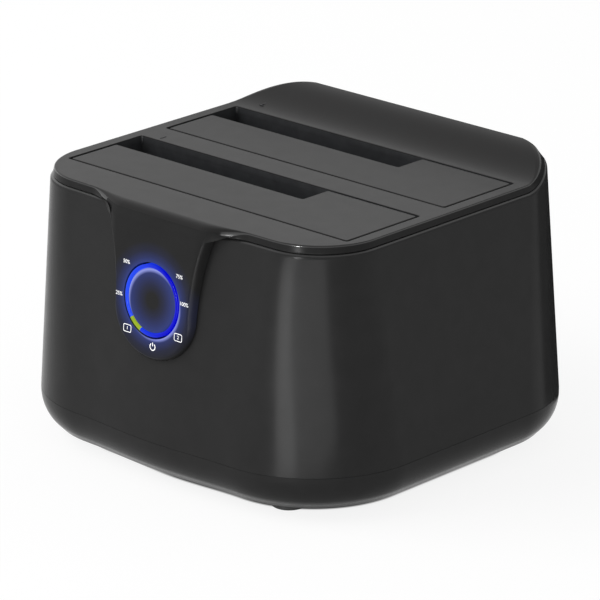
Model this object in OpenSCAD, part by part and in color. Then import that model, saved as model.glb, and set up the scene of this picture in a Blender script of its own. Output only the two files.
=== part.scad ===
// Two-bay docking station for bare hard drives, in millimetres.
// X runs to the right, Y to the back and Z up; the origin is under the middle, on the table.

/* [Casing] */
// Height of the flat top above the table
top_z = 76.4; // [74:0.1:86]
// Height of the seam between the base tray and the shell
seam_z = 13.5; // [12:0.1:16]
// Cover plate beyond the bay mouths, at each side
side_margin = 4.45; // [4:0.05:10]
// Cover plate in front of the front bay mouth
front_margin = 13; // [12.6:0.1:16]
// Cover plate behind the rear bay mouth
rear_margin = 20.4; // [18:0.1:26]
// How far the seam stands out from the crown at each side
flare_side = 5.95; // [5:0.05:8]
// How far the seam stands out from the crown at the front and the back
flare_front = 8.5; // [7.5:0.1:10]
// Corner radius at the seam
foot_r = 33.5; // [28:0.5:36]
// Corner radius at the flat top
crown_r = 18.7; // [14:0.1:19]
// Wall of the shell and the tray
wall = 2; // [1.6:0.1:2.2]
// Upright part of the tray's wall, above its rounding
tray_rim = 1; // [0.6:0.1:3]
// Height of the tray's floor above the table
lift = 1.5; // [1.2:0.1:1.8]
// Rise of the rear ledge above the flat top
ledge_rise = 5.6; // [3:0.1:8]
// Where the rear ledge begins, behind the rear bay mouth
ledge_gap = 0.6; // [0.2:0.1:4]
// Gap left in each seam of the casing
seam_gap = 0.15; // [0.1:0.05:0.3]
// Rounding of the shell's top edge
shoulder_r = 1.4; // [0.8:0.1:1.6]

/* [Top cover] */
// Thickness of the cover plate
cover_t = 2.2; // [1.8:0.1:2.4]
// Inset of the rim's lower edge
rim_low = 0.25; // [0.1:0.05:0.5]
// Inset of the rim's upper edge
rim_high = 0.6; // [0.5:0.1:1]
// Depth of the lip that locates the cover in the shell
lip_h = 2.6; // [2:0.1:3]
// Thickness of the locating lips
lip_t = 1.2; // [1:0.1:1.4]
// Clearance of pieces that slide into one another
slide_gap = 0.2; // [0.15:0.05:0.3]
// Diameter of the screw columns under the cover
column_d = 6.6; // [6.2:0.1:6.8]

/* [Tongue] */
// How far the tongue's face stands out from the crown, at the height of the flat top
tongue_proud = 5; // [4.6:0.1:5.4]
// Lean of the tongue's face, with its top to the back
tongue_tilt = 5; // [4:0.5:6]
// Half width of the tongue beside the light ring
tongue_half = 13.6; // [13.5:0.1:14.5]
// Radius of the tongue's sides, which widen up to the rim
tongue_side_r = 105; // [90:5:130]
// Centre of the tongue's round end below the flat top
tongue_drop = 27.1; // [26.6:0.1:27.6]
// Skin of the tongue
tongue_t = 2; // [1.6:0.1:2.1]
// Rounding of the tongue's upper front edge
tongue_roll = 5; // [4.2:0.1:5.2]
// Radius of the fillets that run from the tongue into the rim
tongue_fillet = 3.5; // [3:0.5:5]
// Length of each S-curve between the tongue and the rim, along X
sweep_w = 15; // [12:0.5:18]

/* [Light ring and button] */
// Ring's centre above the centre of the tongue's round end
ring_up = 3.3; // [3:0.1:3.6]
// Outside diameter of the ring
ring_d = 20.5; // [19:0.1:21.5]
// Radial width of the ring
ring_w = 1.2; // [1:0.1:1.6]
// How far the ring stands proud of the tongue
ring_proud = 0.2; // [0:0.05:0.4]
// Length of the ring's tube behind the face
ring_len = 7.9; // [7.6:0.1:8.2]
// Travel of the button
button_travel = 0.9; // [0.6:0.1:1]
// Running gap round the button
button_gap = 0.15; // [0.1:0.05:0.3]
// Thickness of the button's face and skirt
button_t = 1.4; // [1.2:0.1:1.8]

/* [Bays and doors] */
// Width of a bay mouth
bay_w = 105; // [104.6:0.1:105.4]
// Depth of a bay mouth
bay_d = 28.4; // [28.2:0.1:28.6]
// Bar of the cover between the two bay mouths
bar_d = 9.4; // [9:0.1:12]
// Width of the narrow slot for small drives
slot_w = 72.3; // [71:0.1:74]
// Depth of the narrow slot
slot_d = 10.7; // [10:0.1:12]
// Thickness of a door
door_t = 2.2; // [1.8:0.1:2.4]
// Gap along the door's hinge edge
door_front_gap = 0.4; // [0.3:0.05:0.5]
// Gap at the door's ends
door_side_gap = 0.5; // [0.4:0.05:0.7]
// Gap along the door's free edge
door_rear_gap = 0.8; // [0.6:0.05:1]
// Hinge axis in front of the bay mouth
axis_back = 2.6; // [2.5:0.1:2.8]
// Hinge axis below the flat top
axis_drop = 4.4; // [4.3:0.1:4.8]
// Diameter of a hinge pin
pin_d = 2; // [1.6:0.1:2.2]
// Length of a hinge pin
pin_len = 56; // [54:1:58]
// Running gap of the pin in its knuckles, on the radius
pin_gap = 0.05; // [0.03:0.01:0.08]
// Outside radius of a knuckle
knuckle_r = 1.75; // [1.6:0.05:1.8]
// Width of a door arm
arm_w = 4; // [3:0.5:5]
// Distance of the door arms from the middle
arm_x = 20; // [18:0.5:21]
// Reach of a door arm behind the hinge axis
arm_reach = 6; // [5.4:0.1:6.2]
// Wire of a door spring
spring_wire = 0.6; // [0.5:0.1:0.7]
// Outside radius of a door spring
spring_r = 1.9; // [1.8:0.05:2]

/* [Bay guide] */
// Wall of the bay guide
guide_t = 1.2; // [1:0.1:1.3]
// Guide wall's distance from the edges of the mouth, at the hinge side
guide_front_gap = 0.8; // [0.7:0.05:0.9]
// Guide wall's distance from the other edges of the mouth
guide_gap = 0.1; // [0.1:0.05:0.2]
// Chamfer on the guide's outer corners
guide_chamfer = 1.6; // [1.2:0.1:1.7]
// Distance of the guide's top below the hinge axis
guide_drop = 6.6; // [6.4:0.1:9]
// Distance of the guide's floor above the board
guide_lift = 1.5; // [1.4:0.1:2]
// Thickness of the guide's floor
guide_floor = 1.4; // [1.2:0.1:2]

/* [Boards] */
// Thickness of the main board
board_t = 1.6; // [1.2:0.1:1.6]
// Depth of the main board's underside below the seam
board_sink = 0.6; // [0.4:0.1:1]
// Main board's side edges inside the ends of the bays
board_side_gap = 4.5; // [3.5:0.5:6]
// Edges of the board's front and rear ends inside the port panel's ends
board_panel_gap = 2; // [1.7:0.1:3]
// Main board's front edge behind the casing's front
board_front_gap = 10.7; // [10:0.1:11.2]
// Main board's rear edge in front of the port panel
board_rear_gap = 2.4; // [2.2:0.1:3]
// Thickness of the light board
light_board_t = 1.2; // [1:0.1:1.6]
// Half width of the light board
light_board_half = 12; // [11.5:0.1:12.5]

/* [Drive sockets] */
// Length of a drive socket
socket_w = 43; // [42.6:0.1:43.4]
// Thickness of a drive socket
socket_d = 6.4; // [6:0.1:6.8]
// Height of a drive socket above the board
socket_h = 10; // [9:0.1:12]
// Left end of the narrow slot to the middle of the socket
socket_x = 27; // [26.5:0.1:28]
// Spacing of the drive contacts
contact_pitch = 1.27; // [1.27]

/* [Rear ports] */
// Width of the recessed port panel
panel_w = 68; // [67:0.5:69]
// Depth of the port panel inside the casing's rear
panel_sink = 2.7; // [2.5:0.1:3]
// Thickness of the port panel
panel_t = 1.6; // [1.4:0.1:1.8]
// Height of the port panel
panel_h = 16.2; // [16:0.1:17]
// Place of the data socket along X
usb_x = 20; // [19.5:0.5:21]
// Place of the power inlet along X
jack_x = 0; // [-1:0.5:1]
// Place of the power switch along X
switch_x = -20; // [-21:0.5:-19]
// Bore radius of the power inlet
jack_bore_r = 3.1; // [2.8:0.05:3.2]
// Radius of the power inlet's pin
jack_pin_r = 1.05; // [0.8:0.05:1.2]
// Tilt of the power rocker to each side
rocker_tilt = 8; // [5:0.5:9]

/* [Fasteners and feet] */
// Screw columns beside the main board's ends
column_board_gap = 1.2; // [0.6:0.1:2]
// Front screw columns in front of the bay guide
column_front_gap = 0.3; // [0.2:0.05:0.5]
// Rear screw columns behind the bay guide
column_rear_gap = 6; // [4:0.5:8]
// Diameter of the case screws
screw_d = 3; // [2.6:0.1:3]
// Diameter of the board screws
board_screw_d = 2.6; // [2.2:0.1:2.6]
// Diameter of the light board screws
light_screw_d = 1.8; // [1.6:0.1:2]
// Diameter of a foot, which covers a case screw
foot_pad_d = 10; // [9:0.5:11]

/* [Hidden] */
$fn = 48;
eps = 0.01;
corner_steps = 12;
tray_steps = 6;
side_steps = 6;

// Plan of the casing, worked out from the bays outwards
bay_pitch = bay_d + bar_d;
crown_w = bay_w + 2*side_margin;
crown_d = front_margin + bay_pitch + bay_d + rear_margin;
foot_w = crown_w + 2*flare_side;
foot_d = crown_d + 2*flare_front;
bay_y = front_margin - crown_d/2;
bay_fronts = [bay_y, bay_y + bay_pitch];
slot_left = -bay_w/2;
slot_right = slot_left + slot_w;
ledge_y = bay_fronts[1] + bay_d + ledge_gap;

// Heights of the stack from the seam down and up
tray_round = seam_z - lift - tray_rim;
floor_z = lift + wall;
board_z = seam_z - board_sink;
board_top = board_z + board_t;
guide_z = board_top + guide_lift;
plate_z = top_z - cover_t;
axis_z = top_z - axis_drop;
guide_top = axis_z - guide_drop;
tongue_z = top_z - tongue_drop;
ring_z = tongue_z + ring_up;

// Lip of the tray inside the shell
tray_lip_low = 2.4;
tray_lip_high = 2;
tray_lip_sink = 0.3;
tray_lip_gap = 3;

// Hinges: lugs of the cover, arms of the doors and legs of the springs
lug_w = 3;
lug_gap = 0.4;
lug_r = knuckle_r + 0.2;
spring_len = 9;
spring_front_leg = 6;
spring_rear_leg = 8;
lug_x = arm_x + arm_w/2 + lug_gap + lug_w/2;
mid_lug_x = spring_len/2 + lug_gap + lug_w/2;
arm_tip = 0.3;
arm_clear = 0.2;

// The rear ledge is an arc that leaves the flat top tangentially
ledge_run = crown_d/2 - rim_high - ledge_y;
ledge_r = (ledge_run*ledge_run + ledge_rise*ledge_rise) / (2*ledge_rise);

// Tongue: its sides turn outwards up to the fillets, and its upper edge is a roll into the leaning face
tongue_turn = asin((plate_z - tongue_z - tongue_fillet) / (tongue_side_r - tongue_fillet));
tongue_neck = tongue_half + tongue_side_r*(1 - cos(tongue_turn)) + tongue_fillet*cos(tongue_turn);
tongue_y = crown_d/2 + tongue_proud;
roll_y = tongue_roll*(1 - sin(tongue_tilt))/cos(tongue_tilt) - tongue_y;
roll_z = top_z - tongue_roll;

// Ring, button and light board, upright and measured along Y from the face; on_face() leans them
face_y = -tongue_y - (top_z - ring_z)*tan(tongue_tilt);
skin_y = face_y + tongue_t;
ring_r = ring_d/2;
ring_back = face_y + ring_len;
button_r = ring_r - ring_w - button_gap;
ring_flange_t = 1.1;
ring_flange_r = ring_r + 0.6;
tab_gap = 0.5;
tab_t = 0.8;
tab_y = ring_back + tab_gap;
tab_w = 4;
tab_clear = 0.9;
led_t = 0.8;
led_w = 1.2;
led_len = 2;
tact_t = 3.6;
tact_bore_depth = 2.4;
tact_w = 6;
plunger_r = 1.7;
plunger_gap = 0.2;
plunger_in = 1.2;
plunger_out = 1.3;
light_board_y = tab_y + tab_t + button_travel + led_t + tab_clear;
tact_front = light_board_y - tact_t;
light_boss_r = 2;
light_boss_x = 8;
light_boss_up = 14;
light_boss_down = ring_flange_r + light_boss_r + slide_gap;
light_bosses = [
    [0, ring_z - light_boss_down],
    [-light_boss_x, ring_z + light_boss_up], [light_boss_x, ring_z + light_boss_up]];
light_boss_bore = 5;
light_screw_reach = 4.5;
light_board_low = ring_z - light_boss_down - light_boss_r;
light_board_high = ring_z + light_boss_up + light_boss_r;
notch_cover = 0.9;
notch_half = tongue_half - notch_cover;

// Bay guides, main board and screw places
web_x = 40;
web_drop = 10;
guide_front_y = bay_fronts[0] - guide_front_gap - guide_t;
guide_rear_y = bay_fronts[1] + bay_d + guide_gap + guide_t;
panel_y = foot_d/2 - panel_sink;
board_half = bay_w/2 - board_side_gap;
board_end_half = panel_w/2 - board_panel_gap;
board_front = board_front_gap - foot_d/2;
board_rear = panel_y - board_rear_gap;
board_step = 1;
column_x = board_end_half + column_board_gap + column_d/2;
column_front_y = column_front_gap + column_d/2 - guide_front_y;
column_rear_y = guide_rear_y + column_rear_gap + column_d/2;
columns = [
    [-column_x, -column_front_y], [column_x, -column_front_y],
    [-column_x, column_rear_y], [column_x, column_rear_y]];
column_rise = 4.5;
column_low = floor_z + column_rise;
head_r_per_d = 0.95;
head_h_per_d = 0.7;
screw_head_r = screw_d*head_r_per_d;
screw_seat_z = floor_z + 1.5;
screw_reach = 8;
case_screw_reach = 9;
boss_wall = 1.6;
foot_tab_w = 8;
foot_tab_d = 7;
foot_tab_t = 3;
board_screw_x = 24;
board_screws_front = [
    for (x = [-board_screw_x, board_screw_x]) [x, guide_front_y - foot_tab_d/2]];
board_screws_rear = [
    for (x = [-board_screw_x, board_screw_x]) [x, guide_rear_y + foot_tab_d/2]];
board_screws_at = concat(board_screws_front, board_screws_rear);
foot_sink = 0.6;
foot_chamfer = 0.6;
thread_gap = 0.05;

// Rear ports, on the board's rear edge
port_gap = 0.3;
port_sill = 0.2;
usb_proud = 0.5;
jack_proud = 0.3;
panel_z = board_top + port_sill;
usb_w = 12.2;
usb_h = 11.2;
usb_len = 17;
usb_skin = 0.5;
jack_w = 9;
jack_h = 11;
jack_len = 14;
jack_depth = 10;
switch_w = 8.6;
switch_h = 13;
switch_len = 12;
bezel_w = 10.4;
bezel_h = 15;
bezel_t = 1;
switch_z = panel_z + panel_h/2;
rocker_w = 6.4;
rocker_h = 10.4;
rocker_gap = 0.4;
rocker_sink = 1.5;
rocker_axis_y = panel_y - rocker_sink;
rocker_pin_r = 0.8;
rocker_pin_inset = 0.5;

// Drive sockets and their contacts, as places along the socket and counts
socket_mid_x = slot_left + socket_x;
socket_base_h = 4;
socket_end_step = 1;
socket_side_step = 0.8;
signal_start = -14.8;
signal_count = 7;
power_start = -1.6;
power_count = 15;
contact_groups = [[signal_start, signal_count], [power_start, power_count]];
contact_t = 0.3;
contact_w = 0.8;
contact_drop = 0.6;
blade_slot = 1.6;
blade_depth = 6;

// Ribbon cable between the light board and the main board
plug_w = 9;
plug_d = 3.6;
plug_h = 5;
plug_drop = 10;
cable_w = 7;
cable_t = 0.6;
plug_z = ring_z - plug_drop;
cable_y = light_board_y + light_board_t + plug_d/2;

// Section of the casing at a height: half width, half depth and corner radius
function casing(z) =
    let (t = (z - seam_z) / (top_z - seam_z))
    [foot_w/2 + (crown_w - foot_w)/2*t, foot_d/2 + (crown_d - foot_d)/2*t, foot_r + (crown_r - foot_r)*t];

// Rounded outline of a section, anticlockwise from the right, moved in by inset
function outline(sec, inset) = [
    for (q = [0:3], i = [0:corner_steps])
        let (a = 90*q + 90*i/corner_steps,
             sx = (q == 0 || q == 3) ? 1 : -1,
             sy = (q < 2) ? 1 : -1)
        [sx*(sec[0] - sec[2]) + (sec[2] - inset)*cos(a), sy*(sec[1] - sec[2]) + (sec[2] - inset)*sin(a)]];

// Height of the cover's top over a place along Y
function rim_z(y) =
    y < ledge_y ? top_z : top_z + ledge_r - sqrt(ledge_r*ledge_r - (y - ledge_y)*(y - ledge_y));

// Level ring of the casing, and a ring that follows the cover's top at a depth below it
function level_ring(z, inset) = [for (p = outline(casing(z), inset)) [p[0], p[1], z]];
function crown_ring(drop, inset) =
    let (flat = outline(casing(top_z), inset))
    [for (i = [0:len(flat) - 1])
        let (z = rim_z(min(flat[i][1], crown_d/2 - rim_high)) - drop, p = outline(casing(z), inset)[i])
        [p[0], p[1], z]];

// Faces between rings, and across a ring in strips of equal Y
function side_faces(count, n, wrap) = [
    for (k = [0:count - (wrap ? 1 : 2)], i = [0:n - 1])
        let (a = k*n, b = ((k + 1) % count)*n, j = (i + 1) % n)
        each [[a + i, b + i, b + j], [a + i, b + j, a + j]]];
function cap_faces(first, n) =
    let (m = n/4, pairs = [
        for (i = [0:2*m - 1])
            i < m ? [m - 1 - i, m + i] : [5*m - 1 - i, m + i]])
    [for (i = [0:2*m - 2])
        let (r = pairs[i], s = pairs[i + 1])
        each [[first + r[0], first + s[0], first + s[1]], [first + r[0], first + s[1], first + r[1]]]];
function flipped(faces) = [for (f = faces) [f[2], f[1], f[0]]];

// Solid through a stack of rings from the bottom up
module stack(rings) {
    n = len(rings[0]);
    polyhedron(
        points = [for (r = rings) each r],
        faces = concat(
            side_faces(len(rings), n, false), flipped(cap_faces(0, n)), cap_faces((len(rings) - 1)*n, n)));
}

// Hollow wall through a closed chain of rings: up the outside and down the inside
module band(rings) {
    polyhedron(
        points = [for (r = rings) each r],
        faces = side_faces(len(rings), len(rings[0]), true));
}

// Cylinder along Y from a front plane to a rear plane
module along_y(x, z, y0, y1, r) {
    translate([x, y1, z]) rotate([90, 0, 0]) cylinder(r = r, h = y1 - y0);
}

// Cylinder along X between two planes
module along_x(y, z, x0, x1, r) {
    translate([x0, y, z]) rotate([0, 90, 0]) cylinder(r = r, h = x1 - x0);
}

// Box between two corners
module box(a, b) {
    translate(a) cube(b - a);
}

// Place in the plane across X that a place behind the tongue's face is leaned to
function leaned(y, z) = [
    face_y + (y - face_y)*cos(tongue_tilt) + (z - ring_z)*sin(tongue_tilt),
    ring_z - (y - face_y)*sin(tongue_tilt) + (z - ring_z)*cos(tongue_tilt)];

// Pieces behind the tongue's face, leaned with it about the middle of the ring
module on_face() {
    translate([0, face_y, ring_z]) rotate([-tongue_tilt, 0, 0]) translate([0, -face_y, -ring_z]) children();
}

// Pan-head screw with its head's seat at the origin, pointing up
module screw(d, reach) {
    cylinder(d = d, h = reach);
    difference() {
        translate([0, 0, -d*head_h_per_d]) cylinder(r = d*head_r_per_d, h = d*head_h_per_d);
        translate([0, 0, -d*head_h_per_d]) for (a = [0, 90])
            rotate(a) translate([-d*0.6, -d*0.12, -eps]) cube([d*1.2, d*0.24, d*0.35]);
    }
}

// Bay guide outlines, seen from above
module guide_outer(y0) {
    x = bay_w/2 + guide_gap + guide_t;
    f = y0 - guide_front_gap - guide_t;
    b = y0 + bay_d + guide_gap + guide_t;
    c = guide_chamfer;
    polygon([
        [-x, f + c], [-x + c, f], [x - c, f], [x, f + c],
        [x, b - c], [x - c, b], [-x + c, b], [-x, b - c]]);
}
module guide_inner(y0) {
    x = bay_w/2 + guide_gap;
    translate([-x, y0 - guide_front_gap]) square([2*x, bay_d + guide_gap + guide_front_gap]);
}

// Tongue seen from the front, moved in by inset: a round end, widening sides and fillets under the rim
module tongue_front(inset) {
    r = tongue_half - inset;
    side = tongue_side_r + inset;
    f = tongue_fillet + inset;
    low = plate_z - tongue_fillet;
    half = concat(
        [for (a = [-90:7.5:0]) [r*cos(a), tongue_z + r*sin(a)]],
        [for (i = [1:side_steps])
            let (a = tongue_turn*i/side_steps)
            [tongue_half + tongue_side_r - side*cos(a), tongue_z + side*sin(a)]],
        [for (i = [1:side_steps])
            let (a = tongue_turn + (90 - tongue_turn)*i/side_steps)
            [tongue_neck - f*cos(a), low + f*sin(a)]],
        [[tongue_neck + sweep_w, plate_z + inset], [tongue_neck + sweep_w, top_z]]);
    polygon(concat(half, [for (i = [len(half) - 1:-1:1]) [-half[i][0], half[i][1]]]));
}

// Tongue seen from above: a straight front and an S-curve of two arcs at each side
module tongue_plan() {
    h = tongue_y - crown_d/2 + rim_low;
    r = (sweep_w*sweep_w + h*h) / (4*h);
    turn = asin(sweep_w/2/r);
    half = concat(
        [for (a = [0:turn/6:turn]) [tongue_half + r*sin(a), -tongue_y + r - r*cos(a)]],
        [for (a = [turn:-turn/6:0]) [tongue_half + sweep_w - r*sin(a), -tongue_y + h - r + r*cos(a)]],
        [[tongue_half + sweep_w, -crown_d/2 + wall + lip_t]]);
    polygon(concat(half, [for (i = [len(half) - 1:-1:0]) [-half[i][0], half[i][1]]]));
}

// Hollow block of the tongue, before it leans
module tongue_block() {
    deep = tongue_y - crown_d/2 + wall + lip_t;
    skin = tongue_t/cos(tongue_tilt);
    difference() {
        intersection() {
            translate([0, deep - tongue_y, 0]) rotate([90, 0, 0]) linear_extrude(deep) tongue_front(0);
            linear_extrude(top_z) tongue_plan();
        }
        intersection() {
            translate([0, deep - tongue_y + eps, 0])
                rotate([90, 0, 0]) linear_extrude(deep - skin + eps) tongue_front(tongue_t);
            box([-tongue_neck, -tongue_y, 0], [tongue_neck, tongue_y, plate_z]);
        }
    }
}

// Front tongue of the cover, sheared to its lean, which hangs over the shell's front
module tongue() {
    slope = tan(tongue_tilt);
    roll_half = tongue_half + sweep_w;
    difference() {
        multmatrix([[1, 0, 0, 0], [0, 1, slope, -slope*top_z], [0, 0, 1, 0], [0, 0, 0, 1]]) tongue_block();
        stack([level_ring(seam_z, -slide_gap), level_ring(plate_z, -slide_gap)]);
        difference() {
            box([-roll_half, -tongue_y - tongue_roll, roll_z + tongue_roll*sin(tongue_tilt)],
                [roll_half, roll_y, top_z + eps]);
            along_x(roll_y, roll_z, -roll_half - 1, roll_half + 1, tongue_roll);
        }
    }
}

// Hinge lug under the cover, in the plane across the pin
module lug(x, y, w) {
    difference() {
        union() {
            along_x(y, axis_z, x - w/2, x + w/2, lug_r);
            translate([x - w/2, y - lug_r, axis_z]) cube([w, 2*knuckle_r, axis_drop - cover_t + eps]);
        }
        along_x(y, axis_z, x - w, x + w, pin_d/2 + pin_gap);
    }
}

// Ring round the tray's rounding, which starts at a floor's height and inset and turns up to the wall
function tray_ring(start, inset, r, i) =
    let (a = 90*i/tray_steps)
    [for (p = outline(casing(seam_z), inset + r*(1 - sin(a)))) [p[0], p[1], start + r*(1 - cos(a))]];

module base_tray() {
    color("#2e2e2f")
    difference() {
        union() {
            difference() {
                stack(concat(
                    [for (i = [0:tray_steps]) tray_ring(lift, 0, tray_round, i)],
                    [level_ring(seam_z - seam_gap, 0)]));
                stack(concat(
                    [for (i = [0:tray_steps]) tray_ring(floor_z, wall, tray_round - wall, i)],
                    [level_ring(seam_z + tray_rim, wall)]));
            }
            tray_lip();
            for (p = columns) translate([p[0], p[1], lift])
                cylinder(r = screw_head_r + slide_gap + boss_wall, h = column_low - lift);
            for (p = board_screws_at) translate([p[0], p[1], lift])
                cylinder(r = board_screw_d/2 + boss_wall, h = board_z - lift);
        }
        for (p = columns) translate([p[0], p[1], lift - eps]) {
            cylinder(r = screw_head_r + slide_gap, h = screw_seat_z - lift + eps);
            cylinder(r = screw_d/2 + slide_gap, h = column_low);
            cylinder(r = foot_pad_d/2 + slide_gap/2, h = foot_sink + eps);
        }
        for (p = board_screws_at) translate([p[0], p[1], board_z - screw_reach])
            cylinder(r = board_screw_d/2 + thread_gap, h = screw_reach + eps);
    }
}

// Lip of the tray that locates the shell, open behind the rear ports
module tray_lip() {
    outer = wall + slide_gap;
    root = wall - tray_lip_sink;
    low = seam_z - tray_lip_low;
    high = seam_z + tray_lip_high;
    half = panel_w/2 + tray_lip_gap;
    difference() {
        band([
            level_ring(low, root), level_ring(seam_z - seam_gap, root),
            level_ring(seam_z - seam_gap, outer), level_ring(high, outer),
            level_ring(high, outer + lip_t), level_ring(low, outer + lip_t)]);
        box([-half, foot_d/2 - 2*tray_round, seam_z - seam_gap - eps], [half, foot_d/2, high + eps]);
    }
}

module body_shell() {
    top = cover_t + seam_gap;
    color("#262627")
    difference() {
        union() {
            band([
                level_ring(seam_z + seam_gap, 0),
                crown_ring(top + shoulder_r, 0), crown_ring(top + 0.3*shoulder_r, 0.3*shoulder_r),
                crown_ring(top, shoulder_r), crown_ring(top, wall),
                level_ring(seam_z + seam_gap, wall)]);
            port_pad();
        }
        along_y(0, tongue_z, -foot_d, -crown_d/4, notch_half);
        box([-notch_half, -foot_d, tongue_z], [notch_half, -crown_d/4, top_z + ledge_rise]);
        box([-panel_w/2, panel_y, panel_z], [panel_w/2, foot_d, panel_z + panel_h]);
        port_hole(usb_x, usb_w, usb_h, usb_proud);
        port_hole(jack_x, jack_w, jack_h, jack_proud);
        translate([switch_x - switch_w/2 - port_gap, 0, switch_z - switch_h/2 - port_gap])
            cube([switch_w + 2*port_gap, foot_d, switch_h + 2*port_gap]);
    }
}

// Thick pad in the shell's rear wall, in which the port panel is sunk
module port_pad() {
    intersection() {
        box([-panel_w/2 - wall, panel_y - panel_t, seam_z + seam_gap],
            [panel_w/2 + wall, foot_d, panel_z + panel_h + wall]);
        stack([level_ring(seam_z + seam_gap, 0), level_ring(panel_z + panel_h + wall, 0)]);
    }
}

// Hole for a port that stands on the board and reaches a little through the panel
module port_hole(x, w, h, proud) {
    translate([x - w/2 - port_gap, 0, board_top - port_gap])
        cube([w + 2*port_gap, panel_y + proud + port_gap, h + 2*port_gap]);
}

module top_cover() {
    lip = wall + slide_gap;
    color("#4a4949")
    difference() {
        union() {
            stack([
                crown_ring(cover_t, rim_low),
                crown_ring(0.3*cover_t, rim_low + 0.4*(rim_high - rim_low)),
                crown_ring(0, rim_high)]);
            band([
                crown_ring(cover_t + lip_h, lip), crown_ring(cover_t/2, lip),
                crown_ring(cover_t/2, lip + lip_t), crown_ring(cover_t + lip_h, lip + lip_t)]);
            tongue();
            for (p = columns) translate([p[0], p[1], column_low])
                cylinder(d = column_d, h = rim_z(p[1]) - cover_t/2 - column_low);
            for (y0 = bay_fronts, x = [-lug_x, lug_x, -mid_lug_x, mid_lug_x])
                lug(x, y0 - axis_back, lug_w);
            on_face() for (p = light_bosses)
                along_y(p[0], p[1], skin_y - tongue_t/2, light_board_y, light_boss_r);
        }
        for (y0 = bay_fronts)
            box([-bay_w/2, y0, axis_z - 3*knuckle_r], [bay_w/2, y0 + bay_d, top_z + ledge_rise]);
        for (p = columns) translate([p[0], p[1], column_low - eps])
            cylinder(r = screw_d/2 + thread_gap, h = case_screw_reach + slide_gap);
        on_face() {
            for (p = light_bosses) along_y(
                p[0], p[1], light_board_y - light_boss_bore, light_board_y + eps,
                light_screw_d/2 + thread_gap);
            along_y(0, ring_z, face_y - 1, skin_y + eps, ring_r + slide_gap/2);
        }
    }
}

// Drive well of one bay, with its floor cut out round the drive socket and tabs on the main board
module bay_guide(y0, tabs) {
    color("#1d1d1f")
    difference() {
        union() {
            translate([0, 0, guide_z]) linear_extrude(guide_top - guide_z) difference() {
                guide_outer(y0);
                guide_inner(y0);
            }
            translate([0, 0, guide_z]) linear_extrude(guide_floor) guide_outer(y0);
            for (p = tabs)
                translate([p[0] - foot_tab_w/2, p[1] - foot_tab_d/2 - eps, board_top])
                    cube([foot_tab_w, foot_tab_d + 2*eps, foot_tab_t]);
            children();
        }
        translate([socket_mid_x - socket_w/2 - slide_gap, socket_y(y0) - socket_d/2 - slide_gap, 0])
            cube([socket_w + 2*slide_gap, socket_d + 2*slide_gap, guide_z + 2*guide_floor]);
        for (p = tabs) translate([p[0], p[1], 0])
            cylinder(r = board_screw_d/2 + slide_gap, h = guide_top);
    }
}

// The front guide's webs stand against the rear guide
module bay_guide_front() {
    web_front = bay_fronts[0] + bay_d + guide_gap;
    web_back = bay_fronts[1] - guide_front_gap - guide_t;
    bay_guide(bay_fronts[0], board_screws_front)
        for (x = [-web_x, 0, web_x])
            box([x - guide_t/2, web_front, guide_z], [x + guide_t/2, web_back, guide_top - web_drop]);
}
module bay_guide_rear() { bay_guide(bay_fronts[1], board_screws_rear); }

module main_board() {
    front_y = guide_front_y;
    rear_y = guide_rear_y + board_step;
    e = board_end_half;
    w = board_half;
    color("#1f5a3c")
    difference() {
        translate([0, 0, board_z]) linear_extrude(board_t) polygon([
            [-e, board_front], [e, board_front], [e, front_y], [w, front_y], [w, rear_y], [e, rear_y],
            [e, board_rear], [-e, board_rear], [-e, rear_y], [-w, rear_y], [-w, front_y], [-e, front_y]]);
        for (p = board_screws_at) translate([p[0], p[1], 0])
            cylinder(r = board_screw_d/2 + slide_gap, h = board_top + eps);
    }
}

// Middle of a drive socket along Y: under the middle of the narrow slot
function socket_y(y0) = y0 + bay_d - slot_d/2;

module drive_socket(y0) {
    color("#151517") translate([socket_mid_x, socket_y(y0), board_top]) difference() {
        union() {
            translate([-socket_w/2, -socket_d/2, 0]) cube([socket_w, socket_d, socket_base_h]);
            translate([-socket_w/2 + socket_end_step, -socket_d/2 + socket_side_step, 0])
                cube([socket_w - 2*socket_end_step, socket_d - 2*socket_side_step, socket_h]);
        }
        for (g = contact_groups)
            translate([g[0] - contact_pitch, -blade_slot/2, socket_h - blade_depth])
                cube([(g[1] + 1)*contact_pitch, blade_slot, blade_depth + eps]);
    }
}

module drive_contacts(y0) {
    color("#d7ae4e") translate([socket_mid_x, socket_y(y0), board_top])
        for (g = contact_groups, i = [0:g[1] - 1])
            translate([
                g[0] + i*contact_pitch - contact_w/2, blade_slot/2 - contact_t, socket_h - blade_depth])
                cube([contact_w, contact_t, blade_depth - contact_drop]);
}

module drive_socket_front() { drive_socket(bay_fronts[0]); }
module drive_socket_rear() { drive_socket(bay_fronts[1]); }
module drive_contacts_front() { drive_contacts(bay_fronts[0]); }
module drive_contacts_rear() { drive_contacts(bay_fronts[1]); }

module bridge_chip() {
    size = 10;
    pins = 10;
    pin_pitch = 0.8;
    pin = 0.3;
    pin_out = 1.1;
    stand = 0.1;
    mid_x = 25;
    behind_front = 16;
    body_t = 1;
    color("#1a1a1c") translate([mid_x, guide_front_y + behind_front, board_top]) {
        translate([-size/2, -size/2, stand]) cube([size, size, body_t]);
        for (q = [0:3], i = [0:pins - 1])
            rotate(90*q) translate([(i - (pins - 1)/2)*pin_pitch - pin/2, size/2 - stand, 0])
                cube([pin, pin_out, pin]);
    }
}

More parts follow.
